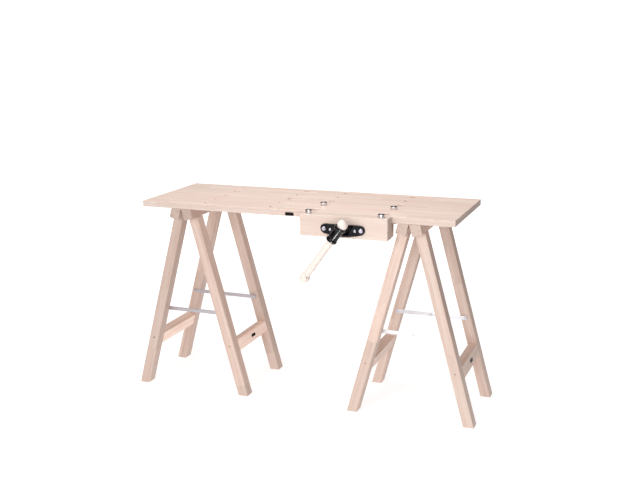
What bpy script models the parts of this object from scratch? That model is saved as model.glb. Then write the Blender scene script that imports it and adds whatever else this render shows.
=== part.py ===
"""Folding trestle workbench with a front vise, children's size.

Metres, +Z up, floor at z = 0, X along the worktop, -Y towards the user.
Each object is one separate piece.  The bench is laid out around the worktop's
centre and then moved along Y, so that the whole object stands centred.
"""

from math import asin, atan2, cos, pi, radians, sin, sqrt

import bmesh
import bpy
from mathutils import Matrix, Vector

# ------------------------------------------------------------ overall sizes
worktop_length = 1.050
worktop_depth = 0.370
worktop_thickness = 0.020
bench_height = 0.657
trestle_spacing = 0.768
splay_angle = radians(15.2)

# ------------------------------------------------------------ clearances
gap = 0.0003
running_gap = 0.0004
edge_chamfer = 0.0015
turned_chamfer = 0.0010
tool_overrun = 0.0100

# ------------------------------------------------------------ worktop holes
dog_hole_radius = 0.0100
hole_column_inner = 0.0735
hole_column_outer = 0.3055
hole_row_pitch = 0.0750
hole_rows = 5
hole_segments = 16
round_segments = 20
small_segments = 10

# ------------------------------------------------------------ bench dogs
dog_head_overhang = 0.0010
dog_head_height = 0.0100
dog_shank_length = 0.0450
dog_row = 1

# ------------------------------------------------------------ trestles
timber_width = 0.0330
leg_depth = 0.0395
leg_pair_depth = 0.3060
rail_length = 0.3720
rail_drop = 0.0330
pin_drop = 0.0074
leaf_offset = 0.0022
tenon_thickness = 0.0120
tenon_width = 0.0200
tenon_length = 0.0180
stretcher_height = 0.0390
stretcher_reach = 0.4900
leg_screw_reach = 0.4810
leg_screw_radius = 0.0028
leg_screw_depth = 0.0060
tenon_root = 0.0050

# ------------------------------------------------------------ trestle hinges
knuckle_radius = 0.0030
hinge_pin_radius = 0.0013
hinge_plate_thickness = 0.0015
hinge_plate_height = 0.0150
hinge_setback = 0.0400
hinge_groove_clearance = 0.0005
hinge_web_root = 0.0010
knuckle_count = 5

# ------------------------------------------------------------ spreader bars
bar_thickness = 0.0020
bar_width = 0.0125
bar_hole_radius = 0.0028
bar_reach = 0.3780
bar_end_segments = 6
pivot_head_overhang = 0.0020
pivot_head_height = 0.0022
pivot_crown_radius = 0.0029
pivot_depth = 0.0120

# ------------------------------------------------------------ plates
plate_length = 0.0280
plate_height = 0.0100
plate_thickness = 0.0012
plate_corner = 0.0020
plate_corner_segments = 3
name_plate_lowering = 0.0024

# ------------------------------------------------------------ vise
vise_x = 0.1915
vise_drop = 0.0215
front_jaw_width = 0.2800
front_jaw_thickness = 0.0430
front_jaw_height = 0.0673
rear_jaw_thickness = 0.0220
rear_jaw_height = 0.0450
flange_length = 0.1415
flange_top = 0.0170
flange_bottom = 0.0205
flange_thickness = 0.0050
flange_end_radius = 0.0150
guide_spacing = 0.1180
guide_radius = 0.0065
guide_overhang = 0.0035
guide_length = 0.1970
flange_screw_spacing = 0.0780
flange_screw_radius = 0.0025
flange_screw_head = 0.0043
flange_screw_length = 0.0250
flange_screw_head_height = 0.0026
flange_screw_crown_radius = 0.0026
flange_screw_rim_height = 0.0014
flange_screw_point_length = 0.0040
flange_screw_point_radius = 0.0008
spindle_radius = 0.0100
spindle_collar_radius = 0.0150
spindle_collar_length = 0.0060
spindle_reach = 0.1450
spindle_seat = 0.0200
spindle_seat_radius = 0.0077
spindle_end_chamfer = 0.0020
nut_boss_radius = 0.0180
nut_boss_length = 0.0260
guide_boss_radius = 0.0110
guide_boss_length = 0.0220

# ------------------------------------------------------------ vise handle
handle_standoff = 0.0630
handle_tilt = radians(35.6)
handle_radius = 0.0110
handle_length = 0.2090
knob_radius = 0.0160
knob_rim = 0.0010
knob_socket_depth = 0.0100
knob_steps = 10
knob_end_angle = radians(86)
sleeve_wall = 0.0040
sleeve_collar_rise = 0.0025
sleeve_collar_length = 0.0060
sleeve_length = 0.0520
sleeve_flare = 0.0040
neck_radius = 0.0120

# ------------------------------------------------------------ derived places
underside = bench_height - worktop_thickness
front_edge = -worktop_depth / 2
pin_height = underside - pin_drop
outer_offset = leaf_offset + timber_width
leg_axis_offset = leaf_offset + timber_width / 2
bar_length = leg_axis_offset * cos(splay_angle) + bar_reach * sin(splay_angle)
vise_height = underside - vise_drop
guide_height = vise_height + flange_top - flange_end_radius
jaw_back = front_edge - gap
jaw_front = jaw_back - front_jaw_thickness
flange_back = jaw_front - gap
flange_front = flange_back - flange_thickness
handle_plane = jaw_front - handle_standoff
rear_jaw_back = front_edge + rear_jaw_thickness
casting_front = rear_jaw_back + gap
dog_shank_radius = dog_hole_radius - gap
dog_head_radius = dog_hole_radius + dog_head_overhang
hinge_groove_radius = knuckle_radius + hinge_groove_clearance
hinge_bore_radius = hinge_pin_radius + gap
pivot_head_radius = bar_hole_radius + pivot_head_overhang
knob_flat = sqrt(knob_radius ** 2 - (handle_radius + knob_rim) ** 2)
sleeve_radius = handle_radius + sleeve_wall
sleeve_collar_radius = sleeve_radius + sleeve_collar_rise
front_reach = -(handle_plane - sleeve_collar_radius)
rear_reach = max(worktop_depth, rail_length) / 2
centring_shift = (front_reach - rear_reach) / 2


# ------------------------------------------------------------ materials
def make_material(name, colour, roughness, metallic):
    material = bpy.data.materials.new(name)
    material.use_nodes = True
    shader = material.node_tree.nodes["Principled BSDF"]
    shader.inputs["Base Color"].default_value = (*colour, 1.0)
    shader.inputs["Roughness"].default_value = roughness
    shader.inputs["Metallic"].default_value = metallic
    material.diffuse_color = (*colour, 1.0)
    return material


def panel_birch():
    return make_material("panel_birch", (0.78, 0.62, 0.48), 0.50, 0.0)


def frame_beech():
    return make_material("frame_beech", (0.72, 0.52, 0.40), 0.50, 0.0)


def handle_beech():
    return make_material("handle_beech", (0.80, 0.66, 0.52), 0.45, 0.0)


def zinc_steel():
    return make_material("zinc_steel", (0.62, 0.62, 0.65), 0.35, 1.0)


def bright_steel():
    return make_material("bright_steel", (0.70, 0.70, 0.72), 0.25, 1.0)


def black_iron():
    return make_material("black_iron", (0.015, 0.014, 0.018), 0.35, 0.0)


def black_plate():
    return make_material("black_plate", (0.010, 0.010, 0.012), 0.40, 0.0)


# ------------------------------------------------------------ mesh building
def mesh_from(builder):
    """Close a bmesh into a mesh with its faces pointing out."""
    bmesh.ops.recalc_face_normals(builder, faces=builder.faces[:])
    mesh = bpy.data.meshes.new("shape")
    builder.to_mesh(mesh)
    builder.free()
    return mesh


def prism(outline, start, end, chamfer=0.0):
    """Extrude an outline of (x, z) points along Y."""
    builder = bmesh.new()
    corners = [builder.verts.new((x, start, z)) for x, z in outline]
    face = builder.faces.new(corners)
    grown = bmesh.ops.extrude_face_region(builder, geom=[face])
    moved = [item for item in grown["geom"] if isinstance(item, bmesh.types.BMVert)]
    bmesh.ops.translate(builder, verts=moved, vec=(0, end - start, 0))
    bmesh.ops.recalc_face_normals(builder, faces=builder.faces[:])
    if chamfer > 0:
        bmesh.ops.bevel(
            builder, geom=builder.edges[:], offset=chamfer, segments=1,
            profile=0.5, affect="EDGES", clamp_overlap=True)
    return mesh_from(builder)


def block(low, high, chamfer=0.0):
    """A box between two corners."""
    outline = [(low[0], low[2]), (high[0], low[2]), (high[0], high[2]), (low[0], high[2])]
    return prism(outline, low[1], high[1], chamfer)


def lathe(profile, centre, axis, segments=round_segments):
    """Turn a profile of (radius, distance) points about an axis through the centre."""
    turn = Vector((0, 0, 1)).rotation_difference(Vector(axis)).to_matrix().to_4x4()
    place = Matrix.Translation(centre) @ turn
    builder = bmesh.new()
    rings = []
    for radius, distance in profile:
        ring = []
        for step in range(segments):
            angle = 2 * pi * step / segments
            point = Vector((radius * cos(angle), radius * sin(angle), distance))
            ring.append(builder.verts.new(place @ point))
        rings.append(ring)
    for low_ring, high_ring in zip(rings, rings[1:]):
        for step in range(segments):
            after = (step + 1) % segments
            builder.faces.new((low_ring[step], low_ring[after], high_ring[after], high_ring[step]))
    builder.faces.new(rings[0][::-1])
    builder.faces.new(rings[-1])
    return mesh_from(builder)


def rod(radius, centre, axis, start, end, segments=round_segments):
    """A plain cylinder from start to end along an axis."""
    return lathe([(radius, start), (radius, end)], centre, axis, segments)


def merged(meshes):
    """Put several separate meshes into one, for use as one tool."""
    builder = bmesh.new()
    for mesh in meshes:
        builder.from_mesh(mesh)
        bpy.data.meshes.remove(mesh)
    mesh = bpy.data.meshes.new("tools")
    builder.to_mesh(mesh)
    builder.free()
    return mesh


def combined(base, tool, operation):
    """Cut or join two meshes with an exact Boolean."""
    base_object = bpy.data.objects.new("base", base)
    tool_object = bpy.data.objects.new("tool", tool)
    bpy.context.scene.collection.objects.link(base_object)
    bpy.context.scene.collection.objects.link(tool_object)
    modifier = base_object.modifiers.new("shape", "BOOLEAN")
    modifier.operation = operation
    modifier.solver = "EXACT"
    modifier.object = tool_object
    bpy.context.view_layer.update()
    evaluated = base_object.evaluated_get(bpy.context.evaluated_depsgraph_get())
    result = bpy.data.meshes.new_from_object(evaluated)
    bpy.data.objects.remove(base_object)
    bpy.data.objects.remove(tool_object)
    bpy.data.meshes.remove(base)
    bpy.data.meshes.remove(tool)
    return result


def cut(base, tools):
    return combined(base, merged(tools), "DIFFERENCE")


def joined(base, tools):
    for tool in tools:
        base = combined(base, tool, "UNION")
    return base


def place_empty(name, parent, location=(0, 0, 0), turn=0.0):
    """An unseen axis that moving pieces hang from."""
    empty = bpy.data.objects.new(name, None)
    bpy.context.scene.collection.objects.link(empty)
    empty.parent = parent
    empty.location = location
    empty.rotation_euler = (0, turn, 0)
    return empty


def place_piece(name, mesh, material, parent, location=(0, 0, 0), turn=0.0, smooth=False):
    """One real piece, with its own copy of the material."""
    mesh.name = name
    mesh.materials.clear()
    mesh.materials.append(material)
    if smooth:
        mesh.shade_smooth()
        mesh.set_sharp_from_angle(angle=radians(35))
    piece = bpy.data.objects.new(name, mesh)
    bpy.context.scene.collection.objects.link(piece)
    piece.parent = parent
    piece.location = location
    piece.rotation_euler = (0, turn, 0)
    return piece


# ------------------------------------------------------------ worktop
def hole_columns():
    return [-hole_column_outer, -hole_column_inner, hole_column_inner, hole_column_outer]


def row_place(row):
    return (row - (hole_rows - 1) / 2) * hole_row_pitch


def dog_hole_tool(x, y, low, high):
    """A through hole for a bench dog."""
    start = low - tool_overrun
    end = high + tool_overrun
    return rod(dog_hole_radius, (x, y, 0), (0, 0, 1), start, end, hole_segments)


def worktop(parent):
    half = worktop_length / 2
    slab = block(
        (-half, front_edge, underside), (half, -front_edge, bench_height), edge_chamfer)
    tools = []
    for x in hole_columns():
        for row in range(hole_rows):
            tools.append(dog_hole_tool(x, row_place(row), underside, bench_height))
    place_piece("worktop", cut(slab, tools), panel_birch(), parent, smooth=True)


def rounded_plate_mesh(length, height, thickness, corner):
    """A thin plate with rounded corners, lying in XZ, back face at y = 0."""
    outline = []
    for turn, side_x, side_z in ((0, 1, 1), (1, -1, 1), (2, -1, -1), (3, 1, -1)):
        centre_x = side_x * (length / 2 - corner)
        centre_z = side_z * (height / 2 - corner)
        for step in range(plate_corner_segments + 1):
            angle = (turn + step / plate_corner_segments) * pi / 2
            outline.append((centre_x + corner * cos(angle), centre_z + corner * sin(angle)))
    return prism(outline, -thickness, 0)


def name_plate(parent):
    mesh = rounded_plate_mesh(plate_length, plate_height, plate_thickness, plate_corner)
    height = bench_height - worktop_thickness / 2 - name_plate_lowering
    place_piece("name_plate", mesh, black_plate(), parent, (0, front_edge - gap, height))


def bench_dog(name, parent, x, y):
    """A round dog that hangs by its head in a hole."""
    chamfer = turned_chamfer
    profile = [
        (dog_shank_radius - chamfer, -dog_shank_length),
        (dog_shank_radius, chamfer - dog_shank_length),
        (dog_shank_radius, gap), (dog_head_radius, gap),
        (dog_head_radius, dog_head_height - chamfer),
        (dog_head_radius - chamfer, dog_head_height)]
    mesh = lathe(profile, (0, 0, 0), (0, 0, 1), hole_segments)
    place_piece(name, mesh, bright_steel(), parent, (x, y, bench_height), smooth=True)


# ------------------------------------------------------------ vise
def guide_places():
    return [("left", -guide_spacing / 2), ("right", guide_spacing / 2)]


def flange_outline(segments=10):
    """Flat along the top, round at the ends, bulging along the bottom."""
    end_x = flange_length / 2 - flange_end_radius
    end_z = flange_top - flange_end_radius
    drop = flange_bottom + end_z
    bulge = (end_x ** 2 + drop ** 2 - flange_end_radius ** 2) / (2 * (drop - flange_end_radius))
    bulge_centre = bulge - flange_bottom
    meeting = atan2(end_z - bulge_centre, end_x)
    outline = []
    for step in range(segments + 1):
        angle = pi / 2 + (meeting - pi / 2) * step / segments
        outline.append(
            (end_x + flange_end_radius * cos(angle), end_z + flange_end_radius * sin(angle)))
    for step in range(1, segments + 1):
        angle = meeting + (-pi / 2 - meeting) * step / segments
        outline.append((bulge * cos(angle), bulge_centre + bulge * sin(angle)))
    mirrored = [(-x, z) for x, z in reversed(outline[:-1])]
    return outline + mirrored


def front_jaw(parent):
    half = front_jaw_width / 2
    low = bench_height - front_jaw_height
    body = block(
        (vise_x - half, jaw_front, low), (vise_x + half, jaw_back, bench_height), edge_chamfer)
    along = (0, 1, 0)
    start = jaw_front - tool_overrun
    end = jaw_back + tool_overrun
    tools = []
    for x in hole_columns()[2:]:
        tools.append(dog_hole_tool(x, jaw_middle(), low, bench_height))
    for side, offset in guide_places():
        centre = (vise_x + offset, 0, guide_height)
        tools.append(rod(guide_radius + gap, centre, along, start, end))
    middle = (vise_x, 0, vise_height)
    recess_end = jaw_front + spindle_collar_length + 2 * gap
    profile = [
        (spindle_collar_radius + gap, start), (spindle_collar_radius + gap, recess_end),
        (spindle_radius + running_gap, recess_end), (spindle_radius + running_gap, end)]
    tools.append(lathe(profile, middle, along))
    for offset in (-flange_screw_spacing / 2, flange_screw_spacing / 2):
        centre = (vise_x + offset, 0, vise_height)
        depth = jaw_front + flange_screw_length
        tools.append(
            rod(flange_screw_radius + gap, centre, along, start, depth, small_segments))
    return place_piece("front_jaw", cut(body, tools), frame_beech(), parent, smooth=True)


def jaw_middle():
    return (jaw_front + jaw_back) / 2


def rear_jaw(parent):
    half = front_jaw_width / 2
    top = underside - gap
    body = block(
        (vise_x - half, front_edge, top - rear_jaw_height), (vise_x + half, rear_jaw_back, top),
        edge_chamfer)
    tools = [vise_bore(0, vise_height, spindle_radius + 2 * running_gap)]
    for side, offset in guide_places():
        tools.append(vise_bore(offset, guide_height, guide_radius + running_gap))
    place_piece("rear_jaw", cut(body, tools), frame_beech(), parent, smooth=True)


def vise_bore(offset, height, radius):
    """A bore along Y, long enough for every fixed vise piece."""
    reach = worktop_depth
    return rod(radius, (vise_x + offset, 0, height), (0, 1, 0), -reach, reach)


def vise_flange(parent):
    outline = [(vise_x + x, vise_height + z) for x, z in flange_outline()]
    body = prism(outline, flange_front, flange_back)
    tools = [vise_bore(0, vise_height, spindle_radius + running_gap)]
    for side, offset in guide_places():
        tools.append(vise_bore(offset, guide_height, guide_radius + gap))
    for offset in (-flange_screw_spacing / 2, flange_screw_spacing / 2):
        tools.append(vise_bore(offset, vise_height, flange_screw_radius + gap))
    place_piece("vise_flange", cut(body, tools), black_iron(), parent, smooth=True)


def flange_screw(name, parent, offset):
    """A pan-head screw that holds the flange to the jaw."""
    start = flange_front - gap
    tip = jaw_front + flange_screw_length - 2 * gap - start
    profile = [
        (flange_screw_crown_radius, -flange_screw_head_height),
        (flange_screw_head, -flange_screw_rim_height),
        (flange_screw_head, 0), (flange_screw_radius, 0),
        (flange_screw_radius, tip - flange_screw_point_length),
        (flange_screw_point_radius, tip)]
    centre = (vise_x + offset, start, vise_height)
    mesh = lathe(profile, centre, (0, 1, 0), small_segments)
    place_piece(name, mesh, zinc_steel(), parent, smooth=True)


def guide_rod(name, parent, offset):
    chamfer = turned_chamfer
    start = flange_front - guide_overhang
    profile = [
        (guide_radius - chamfer, 0), (guide_radius, chamfer),
        (guide_radius, guide_length - chamfer), (guide_radius - chamfer, guide_length)]
    centre = (vise_x + offset, start, guide_height)
    mesh = lathe(profile, centre, (0, 1, 0))
    place_piece(name, mesh, bright_steel(), parent, smooth=True)


def spindle(parent):
    """The vise screw, with the collar that pulls the jaw open."""
    front = neck_back() - spindle_seat + 2 * gap
    collar_front = jaw_front + gap
    collar_back = collar_front + spindle_collar_length
    back = rear_jaw_back + spindle_reach - handle_plane
    profile = [
        (spindle_seat_radius, front - handle_plane),
        (spindle_seat_radius, neck_back() + gap - handle_plane),
        (spindle_radius, neck_back() + gap - handle_plane),
        (spindle_radius, collar_front - handle_plane),
        (spindle_collar_radius, collar_front - handle_plane),
        (spindle_collar_radius, collar_back - handle_plane),
        (spindle_radius, collar_back - handle_plane),
        (spindle_radius, back - spindle_end_chamfer),
        (spindle_radius - spindle_end_chamfer, back)]
    mesh = lathe(profile, (0, 0, 0), (0, 1, 0))
    place_piece("vise_screw", mesh, zinc_steel(), parent, smooth=True)


def neck_back():
    return flange_front - gap


def sleeve_profile():
    """Outline of the cross sleeve: straight, with a flared collar at each end."""
    half = sleeve_length / 2
    start = half - sleeve_collar_length
    return [
        (sleeve_collar_radius, -half), (sleeve_collar_radius, -start),
        (sleeve_radius, -start + sleeve_flare), (sleeve_radius, start - sleeve_flare),
        (sleeve_collar_radius, start), (sleeve_collar_radius, half)]


def screw_head(parent):
    """The cast head of the vise screw: a neck and the sleeve for the handle."""
    half = sleeve_length / 2
    body = lathe(sleeve_profile(), (0, 0, 0), (0, 0, 1))
    neck_end = neck_back() - handle_plane
    neck = rod(neck_radius, (0, 0, 0), (0, 1, 0), 0, neck_end)
    body = joined(body, [neck])
    tools = [
        rod(handle_radius + running_gap, (0, 0, 0), (0, 0, 1), -2 * half, 2 * half),
        rod(spindle_seat_radius + gap, (0, 0, 0), (0, 1, 0), neck_end - spindle_seat,
            neck_end + tool_overrun)]
    for tool in tools:
        body = cut(body, [tool])
    place_piece("screw_head", body, black_iron(), parent, smooth=True)


def knob_height():
    """Height of the upper knob's centre above the screw axis, along the handle."""
    return sleeve_length / 2 + gap + knob_flat


def handle_knob(name, parent, height, facing):
    """A ball with a flat and a socket on the side that faces the bar."""
    start = asin(knob_flat / knob_radius)
    profile = []
    for step in range(knob_steps + 1):
        angle = -start + (start + knob_end_angle) * step / knob_steps
        profile.append((knob_radius * cos(angle), knob_radius * sin(angle)))
    ball = lathe(profile, (0, 0, height), (0, 0, facing))
    socket_end = -knob_flat + knob_socket_depth
    socket = rod(
        handle_radius + gap, (0, 0, height), (0, 0, facing), -2 * knob_radius, socket_end)
    place_piece(name, cut(ball, [socket]), handle_beech(), parent, smooth=True)


def handle_bar(parent):
    reach = knob_flat - knob_socket_depth + gap
    top = knob_height() - reach
    bottom = knob_height() - handle_length + reach
    chamfer = turned_chamfer
    profile = [
        (handle_radius - chamfer, bottom), (handle_radius, bottom + chamfer),
        (handle_radius, top - chamfer), (handle_radius - chamfer, top)]
    mesh = lathe(profile, (0, 0, 0), (0, 0, 1))
    place_piece("handle_bar", mesh, handle_beech(), parent, smooth=True)


def rear_casting(parent):
    """Fixed plate behind the rear jaw, with the nut and two guide bosses."""
    along = (0, 1, 0)
    outline = [(vise_x + x, vise_height + z) for x, z in flange_outline()]
    body = prism(outline, casting_front, casting_front + flange_thickness)
    inside = casting_front + flange_thickness / 2
    bosses = [
        rod(nut_boss_radius, (vise_x, 0, vise_height), along, inside,
            casting_front + nut_boss_length)]
    for side, offset in guide_places():
        centre = (vise_x + offset, 0, guide_height)
        end = casting_front + guide_boss_length
        bosses.append(rod(guide_boss_radius, centre, along, inside, end))
    body = joined(body, bosses)
    tools = [vise_bore(0, vise_height, spindle_radius + running_gap)]
    for side, offset in guide_places():
        tools.append(vise_bore(offset, guide_height, guide_radius + running_gap))
    place_piece("rear_casting", cut(body, tools), black_iron(), parent, smooth=True)


def vise(parent):
    rear_jaw(parent)
    rear_casting(parent)
    slide = place_empty("vise_slide", parent)
    front_jaw(slide)
    vise_flange(slide)
    for side, offset in guide_places():
        guide_rod("guide_rod_" + side, slide, offset)
        flange_screw("flange_screw_" + side, slide, offset * flange_screw_spacing / guide_spacing)
    for side, x in zip(("left", "right"), hole_columns()[2:]):
        bench_dog("jaw_dog_" + side, slide, x, jaw_middle())
    screw_axis = place_empty("screw_axis", slide, (vise_x, handle_plane, vise_height))
    spindle(screw_axis)
    handle_axis = place_empty("handle_axis", screw_axis, turn=handle_tilt)
    screw_head(handle_axis)
    handle_bar(handle_axis)
    handle_knob("handle_knob_upper", handle_axis, knob_height(), 1)
    handle_knob("handle_knob_lower", handle_axis, knob_height() - handle_length, -1)


# ------------------------------------------------------------ trestles
def slanted(x, level):
    """Local height, in a leaf, of the point at x that lies at a world level."""
    return (level - pin_height - abs(x) * sin(splay_angle)) / cos(splay_angle)


def leaf_span(side):
    """Inner and outer face of a leaf's timber, in the leaf's own X."""
    faces = (side * leaf_offset, side * outer_offset)
    return min(faces), max(faces)


def leg_faces(end):
    """Front and rear face of a leg in Y: end is -1 for the front, 1 for the rear."""
    outer = leg_pair_depth / 2
    faces = (end * outer, end * (outer - leg_depth))
    return min(faces), max(faces)


def bar_layer(end, layer):
    """Near and far face of a spreader layer, counted inwards from the legs."""
    start = leg_pair_depth / 2 - leg_depth - gap - layer * (bar_thickness + gap)
    faces = (end * start, end * (start - bar_thickness))
    return faces


def leg(name, parent, side, end):
    """A splayed leg, level at the foot, with a tenon for the head rail."""
    low_x, high_x = leaf_span(side)
    low_y, high_y = leg_faces(end)
    top = -rail_drop - gap
    outline = [
        (low_x, slanted(low_x, 0)), (high_x, slanted(high_x, 0)), (high_x, top), (low_x, top)]
    body = prism(outline, low_y, high_y, edge_chamfer)
    middle_x = side * leg_axis_offset
    middle_y = (low_y + high_y) / 2
    half = (tenon_thickness / 2, tenon_width / 2)
    tenon = block(
        (middle_x - half[0], middle_y - half[1], top - tenon_root),
        (middle_x + half[0], middle_y + half[1], top + tenon_length))
    body = joined(body, [tenon])
    outer_y = end * leg_pair_depth / 2
    inner_y = outer_y - end * leg_depth
    screw_place = (middle_x, outer_y, -leg_screw_reach)
    pivot_place = (middle_x, inner_y, -bar_reach)
    tools = [
        rod(leg_screw_radius, screw_place, (0, -end, 0), -tool_overrun, leg_screw_depth,
            small_segments),
        rod(bar_hole_radius, pivot_place, (0, end, 0), -tool_overrun, pivot_depth + gap,
            small_segments)]
    place_piece(name, cut(body, tools), frame_beech(), parent, smooth=True)


def head_rail(name, parent, side):
    """Top rail of a leaf, planed level on top and grooved for the hinge."""
    low_x, high_x = leaf_span(side)
    half = rail_length / 2
    level = underside - gap
    outline = [
        (low_x, -rail_drop), (high_x, -rail_drop),
        (high_x, slanted(high_x, level)), (low_x, slanted(low_x, level))]
    body = prism(outline, -half, half, edge_chamfer)
    middle_x = side * leg_axis_offset
    tools = []
    for end in (-1, 1):
        low_y, high_y = leg_faces(end)
        middle_y = (low_y + high_y) / 2
        reach = (tenon_thickness / 2 + gap, tenon_width / 2 + gap)
        tools.append(block(
            (middle_x - reach[0], middle_y - reach[1], -rail_drop - tool_overrun),
            (middle_x + reach[0], middle_y + reach[1], -rail_drop + tenon_length + gap)))
    tools.append(rod(hinge_groove_radius, (0, 0, 0), (0, 1, 0), -2 * half, 2 * half))
    place_piece(name, cut(body, tools), frame_beech(), parent, smooth=True)


def stretcher(name, parent, side):
    """Lower rail between the front and the rear leg of a leaf."""
    low_x, high_x = leaf_span(side)
    half = leg_pair_depth / 2 - leg_depth - gap
    low = (low_x, -half, -stretcher_reach - stretcher_height / 2)
    high = (high_x, half, -stretcher_reach + stretcher_height / 2)
    mesh = block(low, high, edge_chamfer)
    place_piece(name, mesh, frame_beech(), parent)


def stretcher_plate(name, parent):
    """A blank plate on the outer face of the right-hand stretcher."""
    mesh = rounded_plate_mesh(plate_length, plate_height, plate_thickness, plate_corner)
    mesh.transform(Matrix.Rotation(pi / 2, 4, "Z"))
    place = (outer_offset + gap, 0, -stretcher_reach)
    place_piece(name, mesh, black_plate(), parent, place)


def knuckle_span(index):
    """Start and end of one hinge knuckle along Y."""
    length = rail_length - 2 * hinge_setback
    pitch = length / knuckle_count
    start = -length / 2 + index * pitch
    return start + gap, start + pitch - gap


def hinge_leaf(name, parent, side):
    """Half of the long hinge: a plate on the rail's inner face and its knuckles."""
    half = rail_length / 2 - hinge_setback - gap
    face = leaf_offset - gap
    faces = (side * face, side * (face - hinge_plate_thickness))
    low_x, high_x = min(faces), max(faces)
    low_z = -hinge_plate_height
    high_z = -knuckle_radius - running_gap
    body = block((low_x, -half, low_z), (high_x, half, high_z))
    own = [index for index in range(knuckle_count) if index % 2 == (side < 0)]
    web_top = -sqrt(hinge_bore_radius ** 2 + knuckle_radius ** 2) / sqrt(2)
    for index in own:
        start, end = knuckle_span(index)
        web = block((low_x, start, high_z - hinge_web_root), (high_x, end, web_top))
        tube = rod(knuckle_radius, (0, 0, 0), (0, 1, 0), start, end, small_segments)
        body = joined(body, [web, tube])
    reach = rail_length
    bore = rod(hinge_bore_radius, (0, 0, 0), (0, 1, 0), -reach, reach, small_segments)
    place_piece(name, cut(body, [bore]), zinc_steel(), parent, smooth=True)


def hinge_pin(name, parent):
    half = rail_length / 2 - hinge_setback
    mesh = rod(hinge_pin_radius, (0, 0, 0), (0, 1, 0), -half, half, small_segments)
    place_piece(name, mesh, zinc_steel(), parent, smooth=True)


def spreader_bar(name, parent, side, end, layer):
    """A flat link with round ends, its origin on the pivot at the leg."""
    radius = bar_width / 2
    outline = []
    towards_middle = pi if side > 0 else 0
    for centre_x, facing in ((-side * bar_length, towards_middle), (0, towards_middle + pi)):
        for step in range(bar_end_segments + 1):
            angle = facing - pi / 2 + pi * step / bar_end_segments
            outline.append((centre_x + radius * cos(angle), radius * sin(angle)))
    near, far = bar_layer(end, layer)
    body = prism(outline, min(near, far), max(near, far))
    tools = []
    for x in (0, -side * bar_length):
        centre = (x, 0, 0)
        tools.append(
            rod(bar_hole_radius, centre, (0, 1, 0), -rail_length, rail_length, small_segments))
    place = (side * leg_axis_offset, 0, -bar_reach)
    turn = side * splay_angle
    place_piece(name, cut(body, tools), zinc_steel(), parent, place, turn, smooth=True)


def spreader_pivot(name, parent, side, end, layer):
    """The rivet on which a spreader bar turns, with a shoulder under a second-layer bar."""
    near, far = bar_layer(end, layer)
    face = leg_pair_depth / 2 - leg_depth
    shank = bar_hole_radius - gap
    start = face - abs(far) + gap
    profile = [(shank, -pivot_depth), (shank, gap)]
    if layer:
        profile += [(pivot_head_radius, gap), (pivot_head_radius, face - abs(near) - gap)]
        profile += [(shank, face - abs(near) - gap)]
    profile += [
        (shank, start), (pivot_head_radius, start),
        (pivot_head_radius, start + pivot_head_height / 2),
        (pivot_crown_radius, start + pivot_head_height)]
    place = (side * leg_axis_offset, end * face, -bar_reach)
    mesh = lathe(profile, (0, 0, 0), (0, -end, 0), small_segments)
    place_piece(name, mesh, zinc_steel(), parent, place, smooth=True)


def leaf(parent, label, side, trestle):
    """One hinged half of a trestle."""
    x = trestle * trestle_spacing / 2
    axis = place_empty(label + "_axis", parent, (x, 0, pin_height), -side * splay_angle)
    layer = 0 if side < 0 else 1
    for end, place in ((-1, "front"), (1, "rear")):
        leg(label + "_leg_" + place, axis, side, end)
        spreader_bar(label + "_spreader_" + place, axis, side, end, layer)
        spreader_pivot(label + "_pivot_" + place, axis, side, end, layer)
    head_rail(label + "_head_rail", axis, side)
    stretcher(label + "_stretcher", axis, side)
    hinge_leaf(label + "_hinge_leaf", axis, side)
    return axis


def trestle(parent, label, trestle_side):
    """Two leaves that fold about one hinge pin under the worktop."""
    leaf(parent, label + "_left", -1, trestle_side)
    right_axis = leaf(parent, label + "_right", 1, trestle_side)
    hinge_pin(label + "_hinge_pin", right_axis)
    stretcher_plate(label + "_plate", right_axis)


# ------------------------------------------------------------ assembly
def clear_scene():
    for item in list(bpy.data.objects):
        bpy.data.objects.remove(item)


def build():
    clear_scene()
    bench = place_empty("bench", None, (0, centring_shift, 0))
    worktop(bench)
    name_plate(bench)
    for side, x in zip(("left", "right"), hole_columns()[2:]):
        bench_dog("top_dog_" + side, bench, x, row_place(dog_row))
    vise(bench)
    trestle(bench, "west", -1)
    trestle(bench, "east", 1)
    bpy.context.view_layer.update()


build()
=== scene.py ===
from math import asin, atan2, cos, pi, radians, sin, sqrt, tan

import bmesh
import bpy
from mathutils import Matrix, Vector


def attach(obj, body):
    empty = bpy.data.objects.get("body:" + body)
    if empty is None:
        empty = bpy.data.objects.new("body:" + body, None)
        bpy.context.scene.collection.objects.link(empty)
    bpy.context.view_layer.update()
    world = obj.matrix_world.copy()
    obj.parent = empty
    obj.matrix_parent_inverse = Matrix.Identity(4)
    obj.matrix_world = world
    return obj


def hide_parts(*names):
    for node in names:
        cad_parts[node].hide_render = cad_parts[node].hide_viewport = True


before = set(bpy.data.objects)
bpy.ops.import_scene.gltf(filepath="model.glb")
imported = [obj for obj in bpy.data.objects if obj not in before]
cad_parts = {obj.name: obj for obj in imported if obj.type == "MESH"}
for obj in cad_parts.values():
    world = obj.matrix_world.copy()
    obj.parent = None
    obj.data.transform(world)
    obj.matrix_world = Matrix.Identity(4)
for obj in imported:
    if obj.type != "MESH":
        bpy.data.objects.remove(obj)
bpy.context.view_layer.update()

# metres unless a comment says otherwise; west is -X, east +X, the user stands in front, on the -Y side
# shiftY brings the worktop's middle to its place, since the vise sticks out in front
bench = {"shiftY": 0.0614, "height": 0.657, "splay": radians(15.2), "trestleX": 0.384, "gap": 0.0003, "runningGap": 0.0004}
shiftY = bench["shiftY"]
gap = bench["gap"]
runningGap = bench["runningGap"]
splay = bench["splay"]
overshoot = 0.01  # how far a cutter reaches past the face it cuts


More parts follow.
